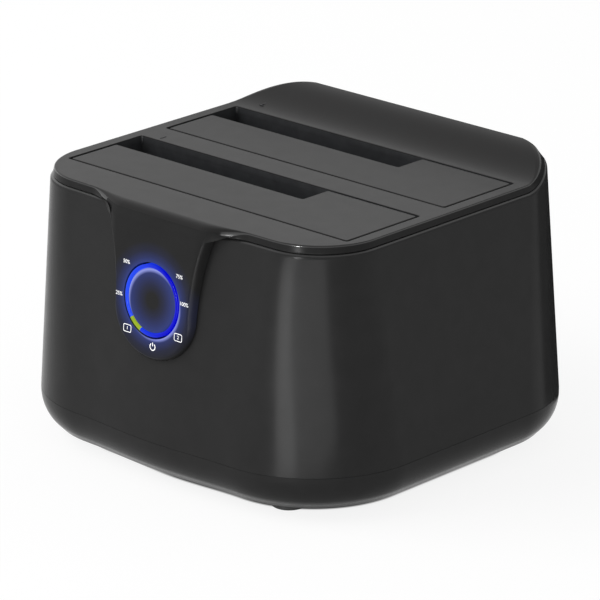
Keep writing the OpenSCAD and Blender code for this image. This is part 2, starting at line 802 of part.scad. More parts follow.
// Capacitor cans with a bead near the foot and a rounded top edge
module board_capacitors() {
    r = 3.15;
    h = 7.7;
    bead = 0.3;
    bead_z = 1.2;
    crimp = 0.4;
    pitch = 7.5;
    first_x = -11.5;
    color("#3a3a42") for (i = [0:2])
        translate([first_x + i*pitch, guide_rear_y + r + board_step + 1, board_top])
            rotate_extrude() polygon([
                [0, 0], [r, 0], [r, bead_z], [r - bead, bead_z + bead], [r, bead_z + 2*bead],
                [r, h - crimp], [r - crimp, h], [0, h]]);
}

module board_inductors() {
    w = 5.5;
    h = 3.4;
    gap = 0.6;
    edge = 1;
    left = 6.5;
    notch = 1.4;
    color("#45454a") for (i = [0, 1])
        translate([left, board_rear - edge - w - i*(w + gap), board_top]) difference() {
            cube([w, w, h]);
            for (x = [0, w], y = [0, w])
                translate([x, y, -eps]) rotate(45) translate([-notch/2, -notch/2, 0])
                    cube([notch, notch, h + 1]);
        }
}

// Crystal in a long can on a flange
module crystal() {
    r = 2.2;
    len = 6;
    left = 8.5;
    flange = 0.3;
    flange_t = 0.5;
    can_h = 3;
    color("#b9bcc0") translate([left, board_front + r + flange + 1.1, board_top])
        for (z = [[0, flange_t, flange], [flange_t, can_h, 0]]) {
            translate([0, 0, z[0]]) cylinder(r = r + z[2], h = z[1]);
            translate([len, 0, z[0]]) cylinder(r = r + z[2], h = z[1]);
            translate([0, -r - z[2], z[0]]) cube([len, 2*(r + z[2]), z[1]]);
        }
}

// Outline of the data socket, with its upper corners cut off
module usb_outline(inset) {
    w = usb_w/2 - inset;
    h = usb_h - inset;
    c = 2.2;
    polygon([[-w, inset], [w, inset], [w, h - c], [w - c, h], [-w + c, h], [-w, h - c]]);
}

module data_socket_shell() {
    face = panel_y + usb_proud;
    color("#c4c6c9") difference() {
        translate([usb_x, face, board_top]) rotate([90, 0, 0]) linear_extrude(usb_len) usb_outline(0);
        translate([usb_x, face + eps, board_top])
            rotate([90, 0, 0]) linear_extrude(usb_len - usb_skin + eps) usb_outline(usb_skin);
    }
}

// Insert with a block at the back and two tongues for the contacts
module data_socket_insert() {
    face = panel_y + usb_proud;
    back = face - usb_len + usb_skin;
    block = 6;
    half = 2.8;
    lower = [2.6, 5.8];
    upper = [8, 9];
    drop = 1.5;
    color("#2554a8") {
        translate([usb_x, back + block, board_top])
            rotate([90, 0, 0]) linear_extrude(block) usb_outline(usb_skin);
        for (z = [lower, upper])
            box([usb_x - half, back + block - 1, board_top + z[0]],
                [usb_x + half, face - drop, board_top + z[1]]);
    }
}

module power_inlet() {
    face = panel_y + jack_proud;
    mid = board_top + jack_h/2;
    color("#18181a") difference() {
        box([jack_x - jack_w/2, face - jack_len, board_top], [jack_x + jack_w/2, face, board_top + jack_h]);
        along_y(jack_x, mid, face - jack_depth, face + 1, jack_bore_r);
    }
}

module power_inlet_pin() {
    face = panel_y + jack_proud;
    tip = 0.9;
    color("#c9b27a") translate([jack_x, face - tip, board_top + jack_h/2]) rotate([90, 0, 0]) {
        cylinder(r = jack_pin_r, h = jack_depth - tip);
        sphere(r = jack_pin_r);
    }
}

// Housing with a bezel on the panel, a pocket for the rocker and a leg on the board
module switch_housing() {
    front = panel_y - switch_len;
    pocket = 5;
    leg = 2;
    leg_d = 3;
    bore = switch_w/2 - rocker_pin_inset + 0.1;
    color("#161618") difference() {
        union() {
            box([switch_x - switch_w/2, front, switch_z - switch_h/2],
                [switch_x + switch_w/2, panel_y + eps, switch_z + switch_h/2]);
            box([switch_x - bezel_w/2, panel_y, switch_z - bezel_h/2],
                [switch_x + bezel_w/2, panel_y + bezel_t, switch_z + bezel_h/2]);
            box([switch_x - leg/2, front - leg_d, board_top], [switch_x + leg/2, front + eps, switch_z]);
        }
        box([switch_x - rocker_w/2 - rocker_gap, rocker_axis_y - pocket, switch_z - rocker_h/2 - rocker_gap],
            [switch_x + rocker_w/2 + rocker_gap, foot_d, switch_z + rocker_h/2 + rocker_gap]);
        along_x(rocker_axis_y, switch_z, switch_x - bore, switch_x + bore, rocker_pin_r + pin_gap);
    }
}

// Rocker with its lower half pressed in at rest
module power_rocker() {
    half = rocker_h/2 - 0.5;
    root = 1.6;
    root_half = 2.86;
    out = 2.8;
    dish = 0.5;
    pin = switch_w/2 - rocker_pin_inset;
    color("#202022") translate([switch_x, rocker_axis_y, switch_z]) rotate([-rocker_tilt, 0, 0]) {
        translate([-rocker_w/2, 0, 0]) rotate([90, 0, 90]) linear_extrude(rocker_w) polygon([
            [-root, -root_half], [-root, root_half], [out - 2*dish, half], [out + dish, half],
            [out - dish, 0], [out + dish, -half], [out - 2*dish, -half]]);
        along_x(0, 0, -pin, pin, rocker_pin_r);
    }
}

module light_board() {
    color("#1f5a3c") on_face() difference() {
        box([-light_board_half, light_board_y, light_board_low],
            [light_board_half, light_board_y + light_board_t, light_board_high]);
        for (p = light_bosses) along_y(
            p[0], p[1], light_board_y - eps, light_board_y + light_board_t + eps,
            light_screw_d/2 + slide_gap);
    }
}

module light_leds() {
    r = ring_r - ring_w/2;
    turn = 20;
    color("#f2f2ea") on_face() for (a = [30, 150, 270], d = [-turn, turn])
        translate([r*cos(a + d), light_board_y - led_t, ring_z + r*sin(a + d)])
            rotate([0, -a - d, 0]) translate([-led_w/2, 0, -led_len/2]) cube([led_w, led_t, led_len]);
}

module tact_switch() {
    color("#141416") on_face() difference() {
        box([-tact_w/2, tact_front, ring_z - tact_w/2], [tact_w/2, light_board_y, ring_z + tact_w/2]);
        along_y(0, ring_z, tact_front - 1, tact_front + tact_bore_depth, plunger_r + plunger_gap);
    }
}

module tact_plunger() {
    color("#3a3a3c") on_face()
        along_y(0, ring_z, tact_front - plunger_out, tact_front + plunger_in, plunger_r);
}

module clone_button() {
    stem_r = 2;
    color("#242426") on_face() {
        difference() {
            along_y(0, ring_z, face_y, tab_y + tab_t, button_r);
            along_y(0, ring_z, face_y + button_t, tab_y + tab_t + 1, button_r - button_t);
        }
        along_y(0, ring_z, face_y + eps, tact_front - plunger_out, stem_r);
        for (a = [90, 210, 330]) intersection() {
            difference() {
                along_y(0, ring_z, tab_y, tab_y + tab_t, ring_r - ring_w/2);
                along_y(0, ring_z, tab_y - 1, tab_y + tab_t + 1, button_r - button_t/2);
            }
            translate([0, tab_y, ring_z]) rotate([0, -a, 0]) translate([0, 0, -tab_w/2])
                cube([ring_r, tab_t, tab_w]);
        }
    }
}

module light_ring() {
    color("#3a52e8") on_face() difference() {
        union() {
            along_y(0, ring_z, face_y - ring_proud, ring_back, ring_r);
            along_y(0, ring_z, skin_y, skin_y + ring_flange_t, ring_flange_r);
        }
        along_y(0, ring_z, face_y - 1, ring_back + 1, ring_r - ring_w);
    }
}

module cable_plug_light() {
    y = light_board_y + light_board_t;
    color("#e8e4d8") on_face() box([-plug_w/2, y, plug_z], [plug_w/2, y + plug_d, plug_z + plug_h]);
}

module cable_plug_main() {
    color("#e8e4d8") box(
        [-plug_w/2, cable_y - plug_d/2, board_top], [plug_w/2, cable_y + plug_d/2, board_top + plug_h]);
}

module ribbon_cable() {
    y0 = cable_y - cable_t/2;
    y1 = cable_y + cable_t/2;
    low = board_top + plug_h;
    color("#b8b8b4") translate([-cable_w/2, 0, 0]) rotate([90, 0, 90]) linear_extrude(cable_w)
        polygon([[y0, low], [y1, low], leaned(y1, plug_z), leaned(y0, plug_z)]);
}

// L-shaped flap: a plate beside the narrow slot, on two arms that reach the hinge pin
module door(y0) {
    left = -bay_w/2 + door_side_gap;
    right = bay_w/2 - door_side_gap;
    front = y0 + door_front_gap;
    step = y0 + bay_d - slot_d;
    back = y0 + bay_d - door_rear_gap;
    under = axis_drop - door_t;
    heel = under - arm_clear;
    root = axis_back + door_front_gap + arm_clear;
    color("#474646") difference() {
        union() {
            translate([0, 0, top_z - door_t]) linear_extrude(door_t) polygon([
                [left, front], [right, front], [right, back],
                [slot_right, back], [slot_right, step], [left, step]]);
            for (x = [-arm_x, arm_x]) {
                translate([x - arm_w/2, y0 - axis_back, axis_z]) rotate([90, 0, 90]) linear_extrude(arm_w)
                    polygon([
                        [0, -knuckle_r], [arm_reach, arm_tip], [arm_reach, under + eps], [root, under + eps],
                        [root, heel], [knuckle_r*0.7, heel], [0, knuckle_r]]);
                along_x(y0 - axis_back, axis_z, x - arm_w/2, x + arm_w/2, knuckle_r);
            }
        }
        along_x(y0 - axis_back, axis_z, -bay_w/2, bay_w/2, pin_d/2 + pin_gap);
    }
}

module door_front() { door(bay_fronts[0]); }
module door_rear() { door(bay_fronts[1]); }

module hinge_pin(y0) {
    color("#b4b6ba") along_x(y0 - axis_back, axis_z, -pin_len/2, pin_len/2, pin_d/2);
}
module hinge_pin_front() { hinge_pin(bay_fronts[0]); }
module hinge_pin_rear() { hinge_pin(bay_fronts[1]); }

// Torsion spring as a plain sleeve of its outer shape, with a leg to the cover and a leg to the door
module hinge_spring(y0) {
    y = y0 - axis_back;
    leg = spring_r - spring_wire/2;
    color("#9a9ca0") difference() {
        union() {
            along_x(y, axis_z, -spring_len/2, spring_len/2, spring_r);
            along_y(spring_wire/2 - spring_len/2, axis_z + leg, y - spring_front_leg, y, spring_wire/2);
            along_y(spring_len/2 - spring_wire/2, axis_z + leg, y, y + spring_rear_leg, spring_wire/2);
        }
        along_x(y, axis_z, -spring_len, spring_len, spring_r - spring_wire);
    }
}
module hinge_spring_front() { hinge_spring(bay_fronts[0]); }
module hinge_spring_rear() { hinge_spring(bay_fronts[1]); }

module feet() {
    color("#161616") for (p = columns) translate([p[0], p[1], 0]) rotate_extrude()
        polygon([
            [0, 0], [foot_pad_d/2 - foot_chamfer, 0], [foot_pad_d/2, foot_chamfer],
            [foot_pad_d/2, lift + foot_sink], [0, lift + foot_sink]]);
}

module case_screws() {
    color("#8f9194") for (p = columns)
        translate([p[0], p[1], screw_seat_z]) screw(screw_d, case_screw_reach);
}

module board_screws() {
    color("#8f9194") for (p = board_screws_at)
        translate([p[0], p[1], board_top + foot_tab_t]) rotate([180, 0, 0]) screw(board_screw_d, screw_reach);
}

module light_board_screws() {
    color("#8f9194") on_face() for (p = light_bosses)
        translate([p[0], light_board_y + light_board_t, p[1]]) rotate([90, 0, 0])
            screw(light_screw_d, light_screw_reach);
}

base_tray();
body_shell();
top_cover();
bay_guide_front();
bay_guide_rear();
main_board();
drive_socket_front();
drive_socket_rear();
drive_contacts_front();
drive_contacts_rear();
bridge_chip();
board_capacitors();
board_inductors();
crystal();
data_socket_shell();
data_socket_insert();
power_inlet();
power_inlet_pin();
switch_housing();
power_rocker();
light_board();
light_leds();
tact_switch();
tact_plunger();
clone_button();
light_ring();
cable_plug_light();
cable_plug_main();
ribbon_cable();
door_front();
door_rear();
hinge_pin_front();
hinge_pin_rear();
hinge_spring_front();
hinge_spring_rear();
feet();
case_screws();
board_screws();
light_board_screws();
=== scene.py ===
"""Looks of a two-bay docking station for bare drives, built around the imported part."""

import math

import bmesh
import bpy
from bpy.props import FloatProperty, FloatVectorProperty, PointerProperty
from mathutils import Matrix, Vector


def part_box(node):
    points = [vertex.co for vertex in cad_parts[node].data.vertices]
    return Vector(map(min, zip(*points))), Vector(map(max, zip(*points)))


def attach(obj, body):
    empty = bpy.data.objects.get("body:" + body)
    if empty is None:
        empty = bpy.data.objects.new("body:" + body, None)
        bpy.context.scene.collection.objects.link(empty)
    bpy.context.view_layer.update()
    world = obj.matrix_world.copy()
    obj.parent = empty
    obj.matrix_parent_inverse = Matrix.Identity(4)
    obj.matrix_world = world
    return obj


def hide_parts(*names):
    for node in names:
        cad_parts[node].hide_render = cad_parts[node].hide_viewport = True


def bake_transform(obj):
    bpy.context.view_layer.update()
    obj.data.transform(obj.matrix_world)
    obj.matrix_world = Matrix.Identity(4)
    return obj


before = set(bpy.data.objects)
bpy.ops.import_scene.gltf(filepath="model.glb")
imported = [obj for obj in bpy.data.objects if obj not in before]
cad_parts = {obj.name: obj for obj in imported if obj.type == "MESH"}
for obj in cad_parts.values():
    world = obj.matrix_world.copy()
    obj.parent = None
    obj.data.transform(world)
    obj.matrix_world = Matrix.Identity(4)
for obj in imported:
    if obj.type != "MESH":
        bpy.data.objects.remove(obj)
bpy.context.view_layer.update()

bl_info = {
    "name": "Docking station",
    "version": (1, 0, 0),
    "blender": (4, 5, 0),
    "location": "View3D > Sidebar > Dock",
    "description": "Builds the casing, cover, doors, light ring and ports of a two-bay docking station",
    "category": "Object",
}

MM = 0.001

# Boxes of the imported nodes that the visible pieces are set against
TRAY_LOW, TRAY_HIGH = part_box("base_tray")
SHELL_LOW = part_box("body_shell")[0]
COVER_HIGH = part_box("top_cover")[1]
DOOR_BOXES = {name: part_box(name) for name in ("door_front", "door_rear")}

# Casing: plan at the seam and at the flat top, and the heights between
FOOT_W = TRAY_HIGH.x - TRAY_LOW.x
FOOT_D = TRAY_HIGH.y - TRAY_LOW.y
FOOT_R = 33.5 * MM
CROWN_W = 113.9 * MM
CROWN_D = 99.6 * MM
CROWN_R = 18.7 * MM
SEAM_GAP = 0.02 * MM
SEAM_Z = SHELL_LOW.z - 0.15 * MM
COVER_GAP = 0.1 * MM
TOP_Z = DOOR_BOXES["door_front"][1].z
LIFT = TRAY_LOW.z
WALL = 2 * MM
TRAY_ROUND = SEAM_Z - LIFT - 1 * MM
TRAY_TURN = math.radians(52)
PLINTH_IN = 4.4 * MM
PLINTH_UP = 2.05 * MM
LEDGE_RISE = COVER_HIGH.z - TOP_Z
LEDGE_Y = 30 * MM
LEDGE_EASE = 0.85
SHOULDER = 1.1 * MM
BOW = 1.6 * MM
CORNER_STEPS = 28
FRONT_STEPS = 13
FRONT_START = 3 * (CORNER_STEPS + 1)
OUTLINE_COUNT = FRONT_START + FRONT_STEPS + CORNER_STEPS + 1

# Top cover, its rim, and its tongue, whose face leans back
COVER_T = 2.2 * MM
PLATE_Z = TOP_Z - COVER_T
RIM_LOW = 0.65 * MM
RIM_HIGH = 0.95 * MM
RIM_FRONT = 0.7 * MM
RIM_REAR = 2.4 * MM
RIM_IN = 3.4 * MM
TILT = math.radians(5)
LEAN = math.tan(TILT)
TONGUE_Y = CROWN_D / 2 + 5 * MM
TONGUE_HALF = 14.7 * MM
TONGUE_DEPTH = 13.4 * MM
TONGUE_SIDE = 70 * MM
TONGUE_Z = TOP_Z - 27.1 * MM
TONGUE_FILLET = 2 * MM
TONGUE_TURN = math.asin((PLATE_Z - TONGUE_Z - TONGUE_FILLET) / (TONGUE_SIDE - TONGUE_FILLET))
TONGUE_NECK = (
    TONGUE_HALF + TONGUE_SIDE * (1 - math.cos(TONGUE_TURN)) + TONGUE_FILLET * math.cos(TONGUE_TURN))
TONGUE_GAP = 0.25 * MM
EDGE_SPARE = 0.1 * MM
NOTCH_HALF = 12.7 * MM
NOTCH_TOP = 100 * MM
SWEEP_W = 15 * MM
ROLL = 5 * MM
ROLL_DOWN = ROLL * (1 - math.sin(TILT))
ROLL_IN = ROLL * math.cos(TILT) - ROLL_DOWN * LEAN

# Ring and button, in the frame of the tongue's face: X across, Y into the dock, Z up along the face
RING_Z = TONGUE_Z + 3.3 * MM
RING_R = 9.95 * MM
RING_W = 1 * MM
RING_GAP = 0.5 * MM
RING_PROUD = 0.2 * MM
RING_CROWN = 0.25 * MM
RING_LEN = 7.9 * MM
BUTTON_R = 8.82 * MM
BUTTON_EDGE = 0.4 * MM
CAP_T = 1.6 * MM
SKIRT_T = 1.4 * MM
SKIRT_LEN = 6.2 * MM
STEM_R = 2 * MM
STEM_LEN = 6.9 * MM
TURN_STEPS = 96
FACE_Y = -TONGUE_Y - (TOP_Z - RING_Z) * LEAN
FACE = Matrix.Translation((0, FACE_Y, RING_Z)) @ Matrix.Rotation(-TILT, 4, "X")

# Bays and doors
BAY_W = 105 * MM
BAY_D = 28.4 * MM
BAYS = {"front": -36.8 * MM, "rear": 1 * MM}
SLOT_W = 72.3 * MM
SLOT_D = 10.7 * MM
SLOT_RIGHT = SLOT_W - BAY_W / 2
MOUTH_R = 0.6 * MM
COLLAR_T = 0.5 * MM
COLLAR_H = 14 * MM
DOOR_T = 2.2 * MM
DOOR_R = 0.7 * MM
DOOR_LEFT_GAP = 0.35 * MM
DOOR_FRONT_GAP = 0.4 * MM
DOOR_LOWER_EDGE = 0.2 * MM

# Hinges, in front of each bay mouth
AXIS_BACK = 2.6 * MM
AXIS_Z = TOP_Z - 4.4 * MM
ARM_X = 20 * MM
ARM_HALF = 2 * MM
KNUCKLE_R = 1.75 * MM
LUGS_X = (-23.9 * MM, -6.4 * MM, 6.4 * MM, 23.9 * MM)
LUG_HALF = 1.5 * MM
LUG_R = 1.95 * MM
SPRING_R = 1.9 * MM
SPRING_TURNS = 11

# Screw columns under the cover, and the light board's bosses in the frame of the tongue's face
COLUMNS_X = (-36.5 * MM, 36.5 * MM)
COLUMNS_Y = (-42.4 * MM, 40 * MM)
COLUMN_R = 3.3 * MM
COLUMN_Z = 8 * MM
BOSSES = ((0, -13.05 * MM), (-8 * MM, 14 * MM), (8 * MM, 14 * MM))
BOSS_R = 2 * MM
BOSS_ENDS = (3 * MM, 11.8 * MM)
OVERLAP = 0.2 * MM
FOOT_PAD_R = 5 * MM
FOOT_PAD_EDGE = 0.6 * MM

# Rear port panel
PANEL_W = 68 * MM
PANEL_H = 16.2 * MM
PANEL_Y = FOOT_D / 2 - 2.7 * MM
PANEL_T = 1.6 * MM
PANEL_R = 1.5 * MM
PANEL_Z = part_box("main_board")[1].z + 0.2 * MM
PORT_GAP = 0.3 * MM
PORT_Y = 45 * MM
ROCKER_HALF = (4.3 * MM, 6.5 * MM)

# Painted light of the ring on the face round it, drawn as emission: shares of its reach, and of its full
# colour there
SPILL_REACH = 17 * MM
HALO = ((0.12, 0), (0.95, 0), (0.26, 0.2), (0.38, 0.5), (0.5, 0.9), (0.61, 1), (0.69, 0.5), (0.8, 0.14))
PALE_LINE = ((0.12, 0), (0.88, 0), (0.5, 1))
PALE_SHIFT = (0.75 * MM, 0, -0.8 * MM)
PALE_HALF = 1.2 * MM
LAMP_DEEP = 0.75
GREEN_FROM = 219
GREEN_TO = 247

# Range of a noise texture that holds nearly all of its values
NOISE_SPAN = (0.3, 0.7)

# Distance of merged vertices, and the least radius of a rounded corner
MERGE = 0.002 * MM
LEAST_R = 0.02 * MM


def linear(code):
    """Linear red, green and blue of an sRGB hex value."""
    parts = [int(code[i:i + 2], 16) / 255 for i in (1, 3, 5)]
    return tuple(c / 12.92 if c <= 0.04045 else ((c + 0.055) / 1.055) ** 2.4 for c in parts)


def colour(name, description, code):
    return FloatVectorProperty(
        name=name, description=description, subtype="COLOR", size=3, min=0, max=1, default=linear(code))


def length(name, description, value):
    return FloatProperty(
        name=name, description=description, subtype="DISTANCE", unit="LENGTH", precision=5,
        default=value * MM)


def angle(name, description, value):
    return FloatProperty(
        name=name, description=description, subtype="ANGLE", unit="ROTATION", default=math.radians(value))


class DockSizes(bpy.types.PropertyGroup):
    """Roundings and small sizes of the visible pieces"""

    tongue_edge: length("Tongue edge", "Rounding of the tongue's side and lower edge", 1.5)
    rim_roll: length("Rim roll", "Height of the rounding on the cover's rim", 0.4)
    rim_edge: length("Rim edge", "Rounding of the rim's lower edge", 0.2)
    mouth_edge: length("Mouth edge", "Rounding of the bay mouths", 0.25)
    door_edge: length("Door edge", "Rounding of the doors' upper edges", 0.3)
    seam_edge: length("Seam edge", "Rounding along the seam of the casing", 0.05)
    button_dish: length("Button dish", "Depth of the dish in the button", 0.3)
    mark_height: length("Mark height", "Height of the figures beside the ring", 1.05)
    emboss: length("Emboss", "Height of the raised figures on the cover", 0.25)
    spring_wire: length("Spring wire", "Diameter of the door springs' wire", 0.6)


class DockFinish(bpy.types.PropertyGroup):
    """Colours of the pieces"""

    gloss_black: colour("Gloss black", "Polished casing, rim and button", "#303030")
    satin_grey: colour("Satin grey", "Sparked top cover and doors", "#100f0f")
    inner_black: colour("Inner black", "Bay guides and rocker", "#303133")
    lamp_near: colour("Lamp blue, left", "Lit ring on its bright side", "#2450f4")
    lamp_far: colour("Lamp blue, right", "Lit ring on its deep side", "#0206c4")
    lamp_green: colour("Lamp green", "Second lamp of the ring", "#86a41a")
    lamp_lime: colour("Lamp lime", "Pale end of the second lamp", "#b4c038")
    spill_blue: colour("Blue spill", "Light of the ring that spreads on the polished face", "#22337c")
    spill_pale: colour("Pale spill", "Bright line that the ring throws beside itself", "#8a90c8")
    ink_white: colour("White ink", "Printed marks", "#f4f4f4")
    nylon_black: colour("Black nylon", "Sockets, power inlet and switches", "#17171a")
    nylon_blue: colour("Blue nylon", "Insert of the data socket", "#2554a8")
    nylon_cream: colour("Cream nylon", "Plugs of the ribbon", "#e8e4d8")
    nickel: colour("Nickel", "Data socket and crystal", "#c0c2c5")
    gold: colour("Gold", "Contacts and pin", "#d7ae4e")
    zinc: colour("Zinc", "Screws, pins and springs", "#a6a8ac")
    can_grey: colour("Can grey", "Capacitors", "#8a8a90")
    mask_green: colour("Mask green", "Circuit boards", "#1f5a3c")
    track_green: colour("Track green", "Copper tracks under the mask", "#2f7a52")
    epoxy_black: colour("Epoxy black", "Chip package", "#1c1c1e")
    ferrite_grey: colour("Ferrite grey", "Inductors", "#45454a")
    resin_white: colour("Resin white", "Lamps on the light board", "#f2f2ea")
    rubber_black: colour("Rubber black", "Feet", "#161616")
    ribbon_grey: colour("Ribbon grey", "Flat cable", "#b8b8b4")
    floor_white: colour("Floor", "Table under the dock", "#f2f2f2")


class DockView(bpy.types.PropertyGroup):
    """Camera of the product view"""

    azimuth: angle("Azimuth", "Turn of the camera to the right of the front", 43.71)
    elevation: angle("Elevation", "Height of the camera as an angle", 19.59)
    roll: angle("Roll", "Turn of the camera about its own axis", -0.33)
    distance: length("Distance", "Distance of the camera from the point it looks at", 1239.92)
    aim: FloatVectorProperty(
        name="Aim", description="Point that the camera looks at",
        subtype="TRANSLATION", size=3, default=(-7.92 * MM, 8.62 * MM, 33.8 * MM))
    lens: FloatProperty(name="Lens", description="Focal length on a 36 mm sensor", default=266.8)


def add(tree, kind, settings=None, links=None, stops=()):
    """Adds a shader node, sets its attributes, inputs and colour stops, and links its inputs.

    A link comes from a socket, or from a node's first output.
    """
    made = tree.nodes.new("ShaderNode" + kind)
    for key, value in (settings or {}).items():
        if isinstance(key, str) and key not in made.inputs:
            setattr(made, key, value)
        else:
            made.inputs[key].default_value = value
    for key, source in (links or {}).items():
        first = source.outputs[0] if isinstance(source, bpy.types.Node) else source
        tree.links.new(first, made.inputs[key])
    for i, (position, tint) in enumerate(stops):
        ramp = made.color_ramp.elements
        stop = ramp[i] if i < 2 else ramp.new(position)
        stop.position = position
        stop.color = (*tint, 1)
    return made


def scaled(tint, factor):
    return tuple(min(1, c * factor) for c in tint)


def tint_of(name):
    return tuple(getattr(bpy.context.scene.dock_finish, name))


def new_tree(name):
    """New material with an empty node tree, and the object coordinates in it."""
    made = bpy.data.materials.new(name)
    made.use_nodes = True
    made.node_tree.nodes.clear()
    place = add(made.node_tree, "TexCoord").outputs["Object"]
    return made, made.node_tree, place


def end_tree(tree, height, depth, shader, sockets):
    """Ends a material's tree in a shader whose relief follows a height, to a depth in millimetres."""
    bump = add(tree, "Bump", {"Distance": depth * MM}, {"Height": height})
    surface = add(tree, "BsdfPrincipled", shader, {**sockets, "Normal": bump})
    add(tree, "OutputMaterial", None, {"Surface": surface})


def moulded(name, base, tone, rough, spots, depth, stretch=(1, 1, 1), shader=None, glow=None):
    """Material whose colour, gloss and relief change in spots, all measured in millimetres."""
    made, tree, place = new_tree(name)
    drawn = add(tree, "Mapping", {"Scale": stretch}, {"Vector": place})
    shade, gloss, relief = (
        add(tree, "TexNoise", {"Scale": 1 / (size * MM), "Detail": 3.0}, {"Vector": drawn})
        for size in spots)
    tints = add(
        tree, "ValToRGB", None, {"Fac": shade.outputs["Fac"]},
        [(at, scaled(tint_of(base), share)) for at, share in zip(NOISE_SPAN, tone)])
    levels = add(
        tree, "MapRange",
        {"From Min": NOISE_SPAN[0], "From Max": NOISE_SPAN[1], "To Min": rough[0], "To Max": rough[1]},
        {"Value": gloss.outputs["Fac"]})
    sockets = {"Base Color": tints, "Roughness": levels}
    if glow:
        sockets["Emission Color"] = glow(tree, place)
    end_tree(tree, relief.outputs["Fac"], depth, shader or {}, sockets)
    return made


def painted_ring_glow(tree, place):
    """Painted light of the ring on the polished face and the button, drawn as emission: a wide blue halo,
    and a painted pale highlight line beside the ring.
    """
    near = add(tree, "VectorMath", {"operation": "DISTANCE", 1: FACE.translation}, {0: place})
    reach = add(tree, "MapRange", {"From Max": SPILL_REACH}, {"Value": near.outputs["Value"]})
    halo = add(
        tree, "ValToRGB", None, {"Fac": reach},
        [(at, scaled(tint_of("spill_blue"), share)) for at, share in HALO])
    aside = FACE @ Vector(PALE_SHIFT)
    moved = add(tree, "VectorMath", {"operation": "DISTANCE", 1: aside}, {0: place})
    middle = RING_R - RING_W / 2
    reach = add(
        tree, "MapRange", {"From Min": middle - PALE_HALF, "From Max": middle + PALE_HALF},
        {"Value": moved.outputs["Value"]})
    line = add(
        tree, "ValToRGB", None, {"Fac": reach},
        [(at, scaled(tint_of("spill_pale"), share)) for at, share in PALE_LINE])
    both = add(
        tree, "Mix", {"data_type": "RGBA", "blend_type": "ADD", 0: 1.0},
        {6: halo, 7: line})
    return both.outputs[2]


def ring_lamp(left, right):
    """Light inside the ring, from a bright side to a deep side along X."""

    def glow(tree, place):
        parts = add(tree, "SeparateXYZ", None, {"Vector": place})
        across = add(
            tree, "MapRange", {"From Min": -RING_R, "From Max": RING_R}, {"Value": parts.outputs["X"]})
        return add(
            tree, "ValToRGB", None, {"Fac": across},
            ((0.0, tint_of(left)), (LAMP_DEEP, tint_of(right))))

    return glow


def solder_mask(name):
    """Lacquer over copper tracks: even green gloss, with the tracks showing as paler, raised lines."""
    made, tree, place = new_tree(name)
    dark, light = (*tint_of("mask_green"), 1), (*tint_of("track_green"), 1)
    tracks = add(tree, "TexBrick", {
        "Scale": 1 / (6 * MM), "Mortar Size": 0.05, "Color1": dark, "Color2": dark, "Mortar": light},
        {"Vector": place})
    end_tree(tree, tracks.outputs["Fac"], 0.03, {"Roughness": 0.28, "IOR": 1.5}, {"Base Color": tracks})
    return made


def ribbon_pvc(name):
    """Extruded flat cable: soft grey vinyl with a rib over each of its wires, and painted shade in the
    grooves between the ribs.
    """
    made, tree, place = new_tree(name)
    ribs = add(
        tree, "TexWave", {"bands_direction": "X", "Scale": 1 / (4 * MM)}, {"Vector": place})
    grey = tint_of("ribbon_grey")
    # The grey follows the ribs' height: darker in the grooves, as painted shade
    tints = add(
        tree, "ValToRGB", None, {"Fac": ribs.outputs["Fac"]},
        ((0.0, scaled(grey, 0.7)), (1.0, grey)))
    end_tree(tree, ribs.outputs["Fac"], 0.1, {"Roughness": 0.45, "IOR": 1.52}, {"Base Color": tints})
    return made


